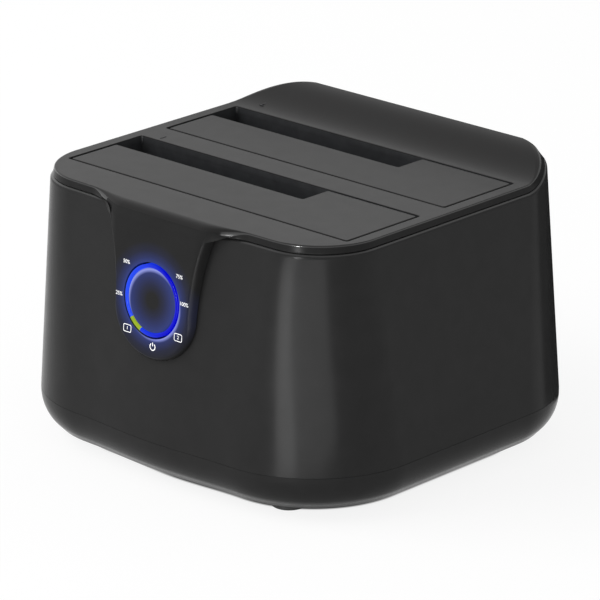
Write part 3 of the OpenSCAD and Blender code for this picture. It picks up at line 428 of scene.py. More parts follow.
SPARKED = dict(
    base="satin_grey", tone=(0.97, 1.03), rough=(0.355, 0.375), spots=(0.5, 5, 0.4), depth=0.01)
NYLON = dict(rough=(0.38, 0.5), spots=(2, 2, 0.4), depth=0.012, shader={"IOR": 1.53})
ACRYLIC = dict(
    tone=(0.1, 0.14), rough=(0.12, 0.2), spots=(3, 3, 2), depth=0.004,
    shader={"IOR": 1.49, "Specular IOR Level": 0.1, "Emission Strength": 1.0})
DRAWN = {"green_solder_mask": solder_mask, "extruded_pvc_ribbon": ribbon_pvc}
FINISHES = {
    # ABS from a polished tool: near black, with soft mirror images that shrinkage bends a little
    "polished_black_abs": dict(
        base="gloss_black", tone=(0.95, 1.05), rough=(0.2, 0.26), spots=(6, 9, 16), depth=0.012,
        shader={"IOR": 1.53, "Specular IOR Level": 0.07}),
    # The same ABS round the lamp, as a darker copy whose lower tone is painted shade, with the ring's light
    # painted on it as emission
    "polished_black_abs_lit": dict(
        base="gloss_black", tone=(0.8, 0.88), rough=(0.2, 0.26), spots=(6, 9, 16), depth=0.008,
        shader={"IOR": 1.53, "Specular IOR Level": 0.045, "Emission Strength": 1.0}, glow=painted_ring_glow),
    # The same ABS where the parting edge is buffed: clearer, so that it draws a thin light line
    "buffed_black_abs": dict(
        base="gloss_black", tone=(0.95, 1.05), rough=(0.14, 0.2), spots=(6, 9, 16), depth=0.004,
        shader={"IOR": 1.53, "Specular IOR Level": 0.5}),
    # ABS from a sparked tool: grey and matte, pale at a low angle; the grain is drawn coarser than 0.1 mm
    "sparked_grey_abs": dict(SPARKED, shader={"IOR": 1.53, "Specular IOR Level": 0.235}),
    # The same ABS from the doors' own tool, with a little less sheen
    "sparked_grey_abs_door": dict(SPARKED, shader={"IOR": 1.53, "Specular IOR Level": 0.21}),
    # ABS from a plain tool: black, half matte, with faint flow spots
    "plain_black_abs": dict(
        base="inner_black", tone=(0.85, 1.15), rough=(0.42, 0.55), spots=(3, 4, 0.6), depth=0.015,
        shader={"IOR": 1.53, "Specular IOR Level": 0.3}),
    # Moulded nylon: a dull skin with a fine grain
    "black_nylon": dict(NYLON, base="nylon_black", tone=(0.85, 1.15)),
    "blue_nylon": dict(NYLON, base="nylon_blue", tone=(0.92, 1.05)),
    "cream_nylon": dict(NYLON, base="nylon_cream", tone=(0.94, 1.03)),
    # Nickel on drawn steel: bright, with fine draw lines along one way
    "nickel_plate": dict(
        base="nickel", tone=(0.92, 1.04), rough=(0.2, 0.32), spots=(1.5, 1.2, 0.5), depth=0.006,
        stretch=(1, 0.15, 1), shader={"Metallic": 1.0}),
    # Thin gold on stamped contacts: smooth and warm
    "gold_flash": dict(
        base="gold", tone=(0.94, 1.04), rough=(0.16, 0.28), spots=(1, 0.8, 0.5), depth=0.004,
        shader={"Metallic": 1.0}),
    # Zinc on rolled or drawn steel: grey, cloudy metal
    "zinc_plated_steel": dict(
        base="zinc", tone=(0.86, 1.06), rough=(0.28, 0.42), spots=(0.8, 0.6, 0.4), depth=0.006,
        shader={"Metallic": 1.0}),
    # Drawn aluminium cans: soft metal with a slight haze
    "sleeved_aluminium": dict(
        base="can_grey", tone=(0.9, 1.05), rough=(0.3, 0.4), spots=(2, 1.5, 0.5), depth=0.006,
        shader={"Metallic": 1.0}),
    # Moulded epoxy: matte charcoal with glass filler in it
    "moulded_epoxy": dict(
        base="epoxy_black", tone=(0.85, 1.2), rough=(0.55, 0.68), spots=(0.4, 0.6, 0.25), depth=0.012,
        shader={"IOR": 1.55}),
    # Pressed ferrite: dull grey with an open grain
    "pressed_ferrite": dict(
        base="ferrite_grey", tone=(0.8, 1.15), rough=(0.55, 0.7), spots=(0.4, 0.6, 0.3), depth=0.02,
        shader={"IOR": 1.6}),
    # Cast clear resin: smooth, and milky where the lamp's powder is
    "clear_resin": dict(
        base="resin_white", tone=(0.92, 1.03), rough=(0.1, 0.2), spots=(0.8, 0.8, 0.6), depth=0.004,
        shader={"IOR": 1.5}),
    # Moulded rubber: deep black without a mirror image
    "moulded_rubber": dict(
        base="rubber_black", tone=(0.85, 1.1), rough=(0.7, 0.85), spots=(1, 1.5, 0.4), depth=0.02,
        shader={"IOR": 1.5}),
    # Screen ink: thin, flat white, with a faint glow painted into it as emission
    "white_screen_ink": dict(
        base="ink_white", tone=(0.97, 1.02), rough=(0.4, 0.5), spots=(0.5, 0.5, 0.3), depth=0.004,
        shader={"IOR": 1.5, "Emission Color": (1, 1, 1, 1), "Emission Strength": 0.55}),
    # Clear acrylic light guide: glossy, with the lamps' light in it
    "lit_acrylic_blue": dict(ACRYLIC, base="lamp_far", glow=ring_lamp("lamp_near", "lamp_far")),
    "lit_acrylic_green": dict(ACRYLIC, base="lamp_green", glow=ring_lamp("lamp_green", "lamp_lime")),
}


def finish_of(name):
    """The material of a finish, made on first use."""
    made = bpy.data.materials.get(name)
    if made:
        return made
    return DRAWN[name](name) if name in DRAWN else moulded(name, **FINISHES[name])


def section(z):
    """Half width, half depth and corner radius of the casing at a height."""
    t = (z - SEAM_Z) / (TOP_Z - SEAM_Z)
    return (
        FOOT_W / 2 + (CROWN_W - FOOT_W) / 2 * t,
        FOOT_D / 2 + (CROWN_D - FOOT_D) / 2 * t,
        FOOT_R + (CROWN_R - FOOT_R) * t)


def bow(share):
    """Swell of the front at a share of its straight part, from its middle to either end."""
    return BOW * max(0, 1 - share * share) ** 2


def outline(shape, inset, index):
    """Point of a section's rounded outline, anticlockwise from the right, moved in by inset."""
    half_x, half_y, radius = shape
    front = index - FRONT_START
    if 0 <= front < FRONT_STEPS:
        share = 2 * (front + 1) / (FRONT_STEPS + 1) - 1
        return share * (half_x - radius), inset - half_y - bow(share)
    quarter, step = divmod(index if front < 0 else index - FRONT_STEPS, CORNER_STEPS + 1)
    angle = math.pi / 2 * (quarter + step / CORNER_STEPS)
    side = 1 if quarter in (0, 3) else -1
    end = 1 if quarter < 2 else -1
    return (
        side * (half_x - radius) + (radius - inset) * math.cos(angle),
        end * (half_y - radius) + (radius - inset) * math.sin(angle))


def ledge_height(y):
    """Height of the cover's top over a place along Y: flat, then an S-curve up to the rear edge."""
    t = min(1, max(0, (y - LEDGE_Y) / (CROWN_D / 2 - RIM_HIGH - LEDGE_Y)))
    return TOP_Z + LEDGE_RISE * (LEDGE_EASE * (3 * t * t - 2 * t ** 3) + (1 - LEDGE_EASE) * t * t)


def spread(start, end, steps):
    """Values from start to end in even steps."""
    return [start + (end - start) * k / steps for k in range(steps + 1)]


def at_height(points, z):
    return [Vector((p[0], p[1], z)) for p in points]


def at_depth(points, y):
    return [Vector((p[0], y, p[1])) for p in points]


def level_ring(z, inset, plan=None):
    """Outline at a height, of the section there or of the one at the height of a plan."""
    shape = section(z if plan is None else plan)
    return at_height([outline(shape, inset, i) for i in range(OUTLINE_COUNT)], z)


def matte_inset(index):
    """Inset of the matte top's edge, which is wider in the corners."""
    count = CORNER_STEPS + 1
    place = index - FRONT_STEPS if index >= FRONT_START + FRONT_STEPS else index
    if FRONT_START <= index < FRONT_START + FRONT_STEPS:
        return RIM_HIGH
    wider = RIM_REAR if place < 2 * count else RIM_FRONT
    return RIM_HIGH + wider * math.sin(math.pi * (place % count) / CORNER_STEPS)


def crown_point(drop, inset, index):
    """Point of the outline that follows the cover's top at a depth below it."""
    z = ledge_height(outline(section(TOP_Z), inset, index)[1]) - drop
    return Vector((*outline(section(z), inset, index), z))


def crown_ring(drop, inset):
    return [crown_point(drop, inset, i) for i in range(OUTLINE_COUNT)]


def add_rings(bm, rings, wrap=False, material=0):
    """Quads between rings of points, which all run the same way round; returns the rings' vertices."""
    made = [[bm.verts.new(p) for p in ring] for ring in rings]
    pairs = list(zip(made, made[1:]))
    if wrap:
        pairs.append((made[-1], made[0]))
    for low, high in pairs:
        for i in range(len(low)):
            j = (i + 1) % len(low)
            bm.faces.new((low[i], low[j], high[j], high[i])).material_index = material
    return made


def add_closed(bm, rings):
    """Quads between rings of points, with a face over each end."""
    made = add_rings(bm, rings)
    bm.faces.new(made[0])
    bm.faces.new(made[-1])


def hanging(across, z, radius, top, steps):
    """Outline with a round lower end, and straight sides up to a height."""
    made = [
        (across + radius * math.cos(a), z + radius * math.sin(a))
        for a in spread(math.pi, math.tau, steps)]
    return made + [(across + radius, top), (across - radius, top)]


def rounded(points, radius, inset=0.0, steps=5):
    """Outline of a polygon given anticlockwise, moved in by inset, with each corner rounded."""
    made = []
    count = len(points)
    for i in range(count):
        before, here, after = (Vector(points[(i + k) % count]) for k in (-1, 0, 1))
        along_in = (here - before).normalized()
        along_out = (after - here).normalized()
        turn = along_in.x * along_out.y - along_in.y * along_out.x
        left_in = Vector((-along_in.y, along_in.x))
        left_out = Vector((-along_out.y, along_out.x))
        corner = here + (left_in + left_out) * inset / (1 + left_in.dot(left_out))
        fillet = max(radius - inset, LEAST_R) if turn > 0 else radius + inset
        half = math.acos(max(-1, min(1, along_in.dot(along_out)))) / 2
        reach = fillet * math.tan(half)
        start = corner - along_in * reach
        side = left_in if turn > 0 else -left_in
        centre = start + side * fillet
        for k in range(steps + 1):
            turned = (2 * half * k / steps) * (1 if turn > 0 else -1)
            arm = start - centre
            made.append(centre + Vector((
                arm.x * math.cos(turned) - arm.y * math.sin(turned),
                arm.x * math.sin(turned) + arm.y * math.cos(turned))))
    return made


def rectangle(x0, y0, x1, y1):
    return [(x0, y0), (x1, y0), (x1, y1), (x0, y1)]


def lathe(bm, profile, steps, place, material_at=None):
    """Turns a profile of (radius, y) about the Y axis of a place; a radius of 0 closes the end."""
    rings = []
    for radius, y in profile:
        turns = [math.tau * i / steps for i in range(steps if radius else 1)]
        rings.append([
            bm.verts.new(place @ Vector((radius * math.cos(a), y, radius * math.sin(a)))) for a in turns])
    for low, high in zip(rings, rings[1:]):
        for i in range(steps):
            j = (i + 1) % steps
            corners = [low[i % len(low)], low[j % len(low)], high[j % len(high)], high[i % len(high)]]
            face = bm.faces.new(list(dict.fromkeys(corners)))
            if material_at:
                face.material_index = material_at(360 * (i + 0.5) / steps)


def add_box(bm, low, high, material=0):
    """Closed box between two corners."""
    made = bmesh.ops.create_cube(bm, size=1)["verts"]
    low, high = Vector(low), Vector(high)
    for v in made:
        v.co = Vector([low[k] + (v.co[k] + 0.5) * (high[k] - low[k]) for k in range(3)])
    for face in {f for v in made for f in v.link_faces}:
        face.material_index = material
    return made


def add_prism_x(bm, points, x0, x1):
    """Closed prism along X over an outline in the YZ plane."""
    ends = [[bm.verts.new((x, p[0], p[1])) for p in points] for x in (x0, x1)]
    for i in range(len(points)):
        j = (i + 1) % len(points)
        bm.faces.new((ends[0][i], ends[0][j], ends[1][j], ends[1][i]))
    bm.faces.new(list(reversed(ends[0])))
    bm.faces.new(ends[1])


def circle_points(y, z, radius, steps=32):
    return [
        (y + radius * math.cos(math.tau * i / steps), z + radius * math.sin(math.tau * i / steps))
        for i in range(steps)]


def new_object(name, bm, finishes=()):
    """Object of a bmesh, with its materials in the order of the faces' indices."""
    bmesh.ops.remove_doubles(bm, verts=bm.verts, dist=MERGE)
    bmesh.ops.recalc_face_normals(bm, faces=bm.faces)
    mesh = bpy.data.meshes.new(name)
    for finish in finishes:
        mesh.materials.append(finish_of(finish))
    bm.to_mesh(mesh)
    bm.free()
    made = bpy.data.objects.new(name, mesh)
    bpy.context.scene.collection.objects.link(made)
    return made


def carve(piece, operation, fill):
    """Cuts or joins a piece with a closed form that fill puts in a bmesh, and keeps the resulting mesh."""
    bm = bmesh.new()
    fill(bm)
    tool = new_object("carve_tool", bm)
    step = piece.modifiers.new("carve", "BOOLEAN")
    step.operation = operation
    step.solver = "EXACT"
    step.object = tool
    result = piece.evaluated_get(bpy.context.evaluated_depsgraph_get())
    kept = bpy.data.meshes.new_from_object(result)
    piece.modifiers.clear()
    piece.data = kept
    bpy.data.objects.remove(tool)


def dress(piece, body, replaced=(), sharp=32):
    """Shades a piece, and sets it on its body in place of its nodes."""
    piece.data.shade_smooth()
    piece.data.set_sharp_from_angle(angle=math.radians(sharp))
    normals = piece.modifiers.new("even_normals", "WEIGHTED_NORMAL")
    normals.keep_sharp = True
    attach(piece, body)
    if replaced:
        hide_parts(*replaced)


def soften(piece, width):
    """Rounds a piece's sharp edges by a bevel of a width in millimetres."""
    edge = piece.modifiers.new("edge_round", "BEVEL")
    edge.width = width * MM
    edge.segments = 2
    edge.limit_method = "ANGLE"
    edge.angle_limit = math.radians(40)


class DOCK_OT_casing(bpy.types.Operator):
    """Builds the polished shell with its port panel, and the base tray"""

    bl_idname = "dock.casing"
    bl_label = "Casing"

    WALL_STEPS = 3
    SHOULDER_STEPS = 7
    DULL_STEPS = 3
    NOTCH_STEPS = 24
    TRAY_STEPS = 14
    PAD_LIFT = 0.05 * MM

    def execute(self, context):
        edge = context.scene.dock_sizes.seam_edge
        self.shell(edge)
        self.tray(edge)
        return {"FINISHED"}

    def shell(self, edge):
        """Wall from the seam up to the cover, with a buffed upper edge."""
        low = SEAM_Z + SEAM_GAP
        top = COVER_T + COVER_GAP
        rings = [level_ring(low, edge), level_ring(low + edge, 0)]
        rings += [level_ring(z, 0) for z in spread(low, PANEL_Z + PANEL_H + WALL, self.WALL_STEPS)[1:]]
        first = (len(rings) + self.DULL_STEPS) * OUTLINE_COUNT
        last = (len(rings) + self.SHOULDER_STEPS) * OUTLINE_COUNT
        for a in spread(0, math.pi / 2, self.SHOULDER_STEPS):
            rings.append(crown_ring(top + SHOULDER * (1 - math.sin(a)), SHOULDER * (1 - math.cos(a))))
        rings += [crown_ring(top, WALL), level_ring(low, WALL)]
        bm = bmesh.new()
        add_rings(bm, rings, wrap=True)
        bm.faces.ensure_lookup_table()
        for face in bm.faces[first:last]:
            face.material_index = 1
        shell = new_object("shell", bm, ["polished_black_abs", "buffed_black_abs"])
        carve(shell, "UNION", self.fill_pad)
        carve(shell, "DIFFERENCE", self.fill_panel)
        for node in ("data_socket_shell", "power_inlet", "switch_housing"):
            carve(shell, "DIFFERENCE", lambda bm, n=node: self.fill_port(bm, n))
        carve(shell, "DIFFERENCE", self.fill_notch)
        dress(shell, "casing", ["body_shell"])

    def fill_pad(self, bm):
        """Thick pad behind the rear wall; its rear face lies inside that wall."""
        half = PANEL_W / 2 + WALL
        rows = []
        for z in (SEAM_Z + SEAM_GAP + self.PAD_LIFT, PANEL_Z + PANEL_H + WALL):
            rear = section(z)[1] - WALL / 2
            rows.append(at_height(rectangle(-half, PANEL_Y - PANEL_T, half, rear), z))
        add_closed(bm, rows)

    def fill_panel(self, bm):
        """Pocket with rounded ends, in which the ports stand."""
        shape = rectangle(-PANEL_W / 2, PANEL_Z, PANEL_W / 2, PANEL_Z + PANEL_H)
        add_closed(bm, [at_depth(rounded(shape, PANEL_R), y) for y in (PANEL_Y, FOOT_D)])

    def fill_port(self, bm, node):
        """Hole through the panel round a port; the rocker's is smaller than its housing."""
        low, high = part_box(node)
        if node == "switch_housing":
            half_w, half_h = (half + PORT_GAP for half in ROCKER_HALF)
            x, y, z = (low.x + high.x) / 2, PANEL_Y + EDGE_SPARE, PANEL_Z + PANEL_H / 2
            add_box(bm, (x - half_w, PORT_Y, z - half_h), (x + half_w, y, z + half_h))
        else:
            add_box(
                bm, (low.x - PORT_GAP, PORT_Y, low.z - PORT_GAP),
                (high.x + PORT_GAP, high.y + PORT_GAP, high.z + PORT_GAP))

    def fill_notch(self, bm):
        """Opening in the front wall behind the tongue, for the ring's tube and the button."""
        points = hanging(0, TONGUE_Z, NOTCH_HALF, NOTCH_TOP, self.NOTCH_STEPS)
        add_closed(bm, [at_depth(points, y) for y in (-FOOT_D, -CROWN_D / 4)])

    def tray(self, edge):
        """Base whose rounding ends in a crisp edge over a low plinth."""
        high = SEAM_Z - SEAM_GAP
        rings = [level_ring(LIFT, TRAY_ROUND, SEAM_Z), level_ring(LIFT + PLINTH_UP, PLINTH_IN, SEAM_Z)]
        rings += self.bowl(0, spread(TRAY_TURN, math.pi / 2, self.TRAY_STEPS))
        rings += [level_ring(high - edge, 0), level_ring(high, edge), level_ring(high, WALL)]
        rings += self.bowl(WALL, spread(math.pi / 2, 0, self.TRAY_STEPS // 2))
        bm = bmesh.new()
        add_closed(bm, rings)
        tray = new_object("tray", bm, ["polished_black_abs"])
        dress(tray, "casing", ["base_tray"])

    def bowl(self, wall, turns):
        """Rings of the tray's rounding, on its outside or the thickness of a wall further in."""
        radius = TRAY_ROUND - wall
        return [
            level_ring(LIFT + wall + radius * (1 - math.cos(a)), wall + radius * (1 - math.sin(a)), SEAM_Z)
            for a in turns]


class DOCK_OT_cover(bpy.types.Operator):
    """Builds the matte cover with its polished rim, bay mouths, rear ledge and front tongue"""

    bl_idname = "dock.cover"
    bl_label = "Top cover"

    TIP_STEPS = 28
    SIDE_STEPS = 15
    FILLET_STEPS = 14
    ROLL_STEPS = 10
    FACE_STEPS = 6
    EDGE_STEPS = 7
    RIM_STEPS = 12
    MATTE_STEPS = 5
    RIM_SHARE = 0.35
    EDGE_TURN = math.radians(60)
    UNDER_SHARES = (0.15, 0.3)
    MOUTH_CURVE = 0.3
    LUG_STEPS = 16
    BOSS_STEPS = 32
    MATTE, GLOSS, PLAIN, BUFFED = 0, 1, 2, 3

    def execute(self, context):
        sizes = context.scene.dock_sizes
        columns = self.columns(sizes)
        bm = bmesh.new()
        rings = [[column[k] for column in columns] for k in range(len(columns[0]))]
        made = add_rings(bm, rings, material=self.GLOSS)
        self.finish_roll(bm, len(columns), len(self.front_stations()) - self.RIM_STEPS)
        self.fill_plate(bm, made[0])
        self.fill_plate(bm, made[-1])
        # The cover's polished rim and tongue take the darker copy of the ABS, with its painted shade and
        # the ring's painted glow
        cover = new_object("cover", bm, [
            "sparked_grey_abs", "polished_black_abs_lit", "plain_black_abs", "buffed_black_abs"])
        for front in BAYS.values():
            carve(cover, "DIFFERENCE", lambda bm, y=front: self.fill_mouth(bm, y, sizes.mouth_edge))
        carve(cover, "DIFFERENCE", self.fill_ring_hole)
        dress(cover, "casing", ["top_cover"])
        self.columns_under()
        return {"FINISHED"}

    def finish_roll(self, bm, count, tongue):
        """The matte finish runs on over the start of the roll; past the tongue the rest of it is buffed."""
        bm.faces.ensure_lookup_table()
        for face in bm.faces[:self.MATTE_STEPS * count]:
            face.material_index = self.MATTE
        for k in range(self.MATTE_STEPS, self.ROLL_STEPS):
            for face in bm.faces[k * count + tongue:(k + 1) * count - tongue]:
                face.material_index = self.BUFFED

    def swept(self, x):
        """Share of the rim's form in the front at a place along X; the rest is the tongue's."""
        t = min(1, max(0, (abs(x) - TONGUE_HALF) / SWEEP_W))
        return t * t * (3 - 2 * t)

    def front_line(self, x, low, high):
        """Y of the front at a place along X, between its values at the tongue and at the rim."""
        blend = self.swept(x)
        return low * (1 - blend) + (high + self.shell_front(x, PLATE_Z)) * blend

    def front_stations(self):
        """Right half of the front's lower edge from the middle out: points (x, z) and outward normals."""
        made = []
        for a in spread(-math.pi / 2, 0, self.TIP_STEPS):
            out = Vector((math.cos(a) / TONGUE_HALF, math.sin(a) / TONGUE_DEPTH)).normalized()
            made.append(((TONGUE_HALF * math.cos(a), TONGUE_Z + TONGUE_DEPTH * math.sin(a)), out))
        for a in spread(0, TONGUE_TURN, self.SIDE_STEPS)[1:-1]:
            x = TONGUE_HALF + TONGUE_SIDE * (1 - math.cos(a))
            made.append(((x, TONGUE_Z + TONGUE_SIDE * math.sin(a)), (math.cos(a), -math.sin(a))))
        low = PLATE_Z - TONGUE_FILLET
        for a in spread(TONGUE_TURN, math.pi / 2, self.FILLET_STEPS):
            x = TONGUE_NECK - TONGUE_FILLET * math.cos(a)
            made.append(((x, low + TONGUE_FILLET * math.sin(a)), (math.cos(a), -math.sin(a))))
        for x in spread(TONGUE_NECK, TONGUE_HALF + SWEEP_W, self.RIM_STEPS)[1:]:
            made.append(((x, PLATE_Z), (0, -1)))
        return made

    def front_column(self, sizes, side, edge, normal):
        """Points from the matte top over the roll, down the face, round its edge and back to the shell."""
        x, z = edge
        blend = self.swept(x)
        lean = LEAN * (1 - blend)
        rim_y = RIM_HIGH + section(PLATE_Z)[1] - section(TOP_Z)[1]
        top_y = self.front_line(x, ROLL_IN - TONGUE_Y, rim_y)
        height = ROLL_DOWN * (1 - blend) + sizes.rim_roll * blend
        edge_r = sizes.tongue_edge * (1 - blend) + sizes.rim_edge * blend
        end = math.pi / 2 - TILT * (1 - blend)
        low_y = self.front_line(x, -TONGUE_Y, RIM_LOW) - height * lean
        back = self.RIM_SHARE * blend * (top_y - low_y)
        points = []
        for a in spread(0, end, self.ROLL_STEPS):
            y = top_y + (low_y + back - top_y) * math.sin(a) / math.sin(end)
            points.append((x, y, TOP_Z - height * (1 - math.cos(a)) / (1 - math.cos(end))))
        start = Vector((x, TOP_Z - height))
        foot = Vector((x - edge_r * normal[0], z - edge_r * normal[1]))
        for t in spread(0, 1, self.FACE_STEPS)[1:]:
            p = start.lerp(foot, t)
            y = self.front_line(p.x, -TONGUE_Y, RIM_LOW) - (TOP_Z - p.y) * lean
            points.append((p.x, y + back * (1 - t), p.y))
        foot_y = points[-1][1]
        wall_y = self.shell_front(x, z) - TONGUE_GAP
        deep = edge_r + max(0, wall_y - EDGE_SPARE - foot_y - edge_r) * (1 - blend)
        for a in spread(0, self.EDGE_TURN, self.EDGE_STEPS)[1:]:
            reach = edge_r * math.sin(a) / math.sin(self.EDGE_TURN)
            sink = deep * (1 - math.cos(a)) / (1 - math.cos(self.EDGE_TURN))
            points.append((foot.x + reach * normal[0], foot_y + sink, foot.y + reach * normal[1]))
        edge_y = points[-1][1]
        plate_y = self.shell_front(x, PLATE_Z) - TONGUE_GAP
        points.append((x, max(edge_y + EDGE_SPARE, wall_y), z))
        points.append((x, max(edge_y + 2 * EDGE_SPARE, plate_y), PLATE_Z))
        points.append((x, -(section(PLATE_Z)[1] - RIM_IN), PLATE_Z))
        return [Vector((side * p[0], p[1], p[2])) for p in points]

    def shell_front(self, x, z):
        """Y of the casing's front at a place along X and a height."""
        half_x, half_y, radius = section(z)
        return -half_y - bow(x / (half_x - radius))

    def rim_points(self, index):
        """Lower edge, matte edge and inner edge of the rim at a place of the casing's outline."""
        edges = ((COVER_T, RIM_LOW), (0, matte_inset(index)), (COVER_T, RIM_IN + matte_inset(index)))
        return [crown_point(drop, inset, index) for drop, inset in edges]

    def side_points(self, side):
        """The same three points where the ledge starts, on the straight side of the casing."""
        made = []
        for drop, inset in ((COVER_T, RIM_LOW), (0, RIM_HIGH), (COVER_T, RIM_IN)):
            made.append(Vector((side * (section(TOP_Z - drop)[0] - inset), LEDGE_Y, TOP_Z - drop)))
        return made

    def rim_column(self, sizes, foot, top, inner):
        """Points over the rim from its three edges."""
        share = self.RIM_SHARE
        height = sizes.rim_roll / COVER_T
        edge = sizes.rim_edge / COVER_T
        span = top - foot
        places = []
        for a in spread(0, math.pi / 2, self.ROLL_STEPS):
            places.append((share + (1 - share) * (1 - math.sin(a)), 1 - height * (1 - math.cos(a))))
        for t in spread(0, 1, self.FACE_STEPS)[1:]:
            places.append((share * (1 - t), (1 - height) * (1 - t) + edge * t))
        points = [foot + Vector((span.x * inset, span.y * inset, span.z * up)) for inset, up in places]
        inward = Vector((inner.x - foot.x, inner.y - foot.y, 0)).normalized()
        last = points[-1]
        for a in spread(0, math.pi / 2, self.EDGE_STEPS)[1:]:
            down = Vector((0, 0, sizes.rim_edge * math.sin(a)))
            points.append(last + inward * sizes.rim_edge * (1 - math.cos(a)) - down)
        points += [points[-1].lerp(inner, t) for t in self.UNDER_SHARES]
        points.append(inner)
        return points

    def columns(self, sizes):
        """All columns of the cover's outside, anticlockwise from the front middle."""
        stations = self.front_stations()
        count = CORNER_STEPS + 1
        edges = [self.rim_points(i) for i in range(OUTLINE_COUNT - count, OUTLINE_COUNT)]
        edges.append(self.side_points(1))
        edges += [self.rim_points(i) for i in range(2 * count)]
        edges.append(self.side_points(-1))
        edges += [self.rim_points(i) for i in range(2 * count, 3 * count)]
        right = [self.front_column(sizes, 1, *s) for s in stations]
        left = [self.front_column(sizes, -1, *s) for s in stations[:0:-1]]
        return right + [self.rim_column(sizes, *e) for e in edges] + left

    def fill_plate(self, bm, ring):
        """Closes the plate inside the rim: one flat face in front, and strips across the ledge."""
        flat = [v for v in ring if v.co.y <= LEDGE_Y + MERGE / 2]
        behind = [v for v in ring if v.co.y >= LEDGE_Y - MERGE / 2]
        bm.faces.new(flat).material_index = self.MATTE
        while len(behind) > 3:
            strip = (behind[0], behind[1], behind[-2], behind[-1])
            bm.faces.new(strip).material_index = self.MATTE
            behind = behind[1:-1]

    def fill_mouth(self, bm, front, edge):
        """Bay mouth, flared at its upper edge."""
        shape = rectangle(-BAY_W / 2, front, BAY_W / 2, front + BAY_D)
        curve = self.MOUTH_CURVE * edge
        steps = ((-2 * edge, edge), (-edge, 0), (-curve, -curve), (0, -edge), (0, -2 * COVER_T))
        add_closed(bm, [at_height(rounded(shape, MOUTH_R, inset), TOP_Z + rise) for inset, rise in steps])
        for face in bm.faces:
            if face.calc_center_median().z < TOP_Z - edge:
                face.material_index = self.PLAIN

    def fill_ring_hole(self, bm):
        """Hole for the ring, from before the face to the ring's rear end."""
        radius = RING_R + RING_GAP
        front = -2 * MM
        hole = [(0, front), (radius, front), (radius, RING_LEN), (0, RING_LEN)]
        lathe(bm, hole, TURN_STEPS, FACE, lambda turned: self.PLAIN)

    def fill_collar(self, bm, front):
        """Thin walls below a bay mouth, at its back and at the slot's left end."""
        half = BAY_W / 2
        rear = front + BAY_D
        low, high = PLATE_Z - COLLAR_H, PLATE_Z + OVERLAP / 4
        add_box(bm, (-half, rear, low), (half, rear + COLLAR_T, high))
        add_box(bm, (-half - COLLAR_T, rear - SLOT_D, low), (-half, rear + COLLAR_T, high))

    def columns_under(self):
        """Screw columns, hinge lugs, bay collars and the light board's bosses under the cover."""
        bm = bmesh.new()
        for x in COLUMNS_X:
            for y in COLUMNS_Y:
                top = ledge_height(y) - COVER_T + OVERLAP
                add_closed(bm, [at_height(circle_points(x, y, COLUMN_R), z) for z in (COLUMN_Z, top)])
        for front in BAYS.values():
            for x in LUGS_X:
                lug = hanging(front - AXIS_BACK, AXIS_Z, LUG_R, PLATE_Z + OVERLAP, self.LUG_STEPS)
                add_prism_x(bm, lug, x - LUG_HALF, x + LUG_HALF)
            self.fill_collar(bm, front)
        near, far = BOSS_ENDS
        for x, up in BOSSES:
            boss = [(0, near), (BOSS_R, near), (BOSS_R, far), (0, far)]
            lathe(bm, boss, self.BOSS_STEPS, FACE @ Matrix.Translation((x, 0, up)))
        made = new_object("cover_columns", bm, ["plain_black_abs"])
        dress(made, "casing")


class DOCK_OT_doors(bpy.types.Operator):
    """Builds the two L-shaped flap doors with their hinge arms"""

    bl_idname = "dock.doors"
    bl_label = "Doors"

    EDGE_STEPS = 4
    KNUCKLE_STEPS = 19
    KNUCKLE_TURN = (math.radians(110), math.radians(300))
    # Arm's underside over the axis, its reach, and the two steps under the plate
    ARM_UP = 0.3 * MM
    ARM_LEN = 6 * MM
    ARM_STEP = 3.2 * MM
    ARM_NECK = 1.2 * MM

    def execute(self, context):
        edge = context.scene.dock_sizes.door_edge
        under = TOP_Z - DOOR_T
        for end, front in BAYS.items():
            name = "door_" + end
            low, high = DOOR_BOXES[name]
            left = low.x + DOOR_LEFT_GAP
            near = front + DOOR_FRONT_GAP
            step_y = front + BAY_D - SLOT_D
            shape = [
                (left, near), (high.x, near), (high.x, high.y),
                (SLOT_RIGHT, high.y), (SLOT_RIGHT, step_y), (left, step_y)]
            rings = [
                at_height(rounded(shape, DOOR_R, DOOR_LOWER_EDGE), under),
                at_height(rounded(shape, DOOR_R), under + DOOR_LOWER_EDGE)]
            for a in spread(0, math.pi / 2, self.EDGE_STEPS):
                inset = edge * (1 - math.cos(a))
                rings.append(at_height(rounded(shape, DOOR_R, inset), TOP_Z - edge * (1 - math.sin(a))))
            bm = bmesh.new()
            add_closed(bm, rings)
            door = new_object("flap_" + end, bm, ["sparked_grey_abs_door"])
            for x in (-ARM_X, ARM_X):
                carve(door, "UNION", lambda bm, x=x, y=front: self.fill_arm(bm, x, y))
            dress(door, end + "_door", [name])
        return {"FINISHED"}

    def fill_arm(self, bm, x, front):
        """Arm from the pin's knuckle to the underside of the plate."""
        y = front - AXIS_BACK
        bite = TOP_Z - DOOR_T + OVERLAP / 2
        clear = TOP_Z - DOOR_T - OVERLAP
        turns = spread(*self.KNUCKLE_TURN, self.KNUCKLE_STEPS)
        points = [(y + KNUCKLE_R * math.cos(a), AXIS_Z + KNUCKLE_R * math.sin(a)) for a in turns]
        points += [
            (y + self.ARM_LEN, AXIS_Z + self.ARM_UP), (y + self.ARM_LEN, bite),
            (y + self.ARM_STEP, bite), (y + self.ARM_STEP, clear), (y + self.ARM_NECK, clear)]
        add_prism_x(bm, points, x - ARM_HALF, x + ARM_HALF)


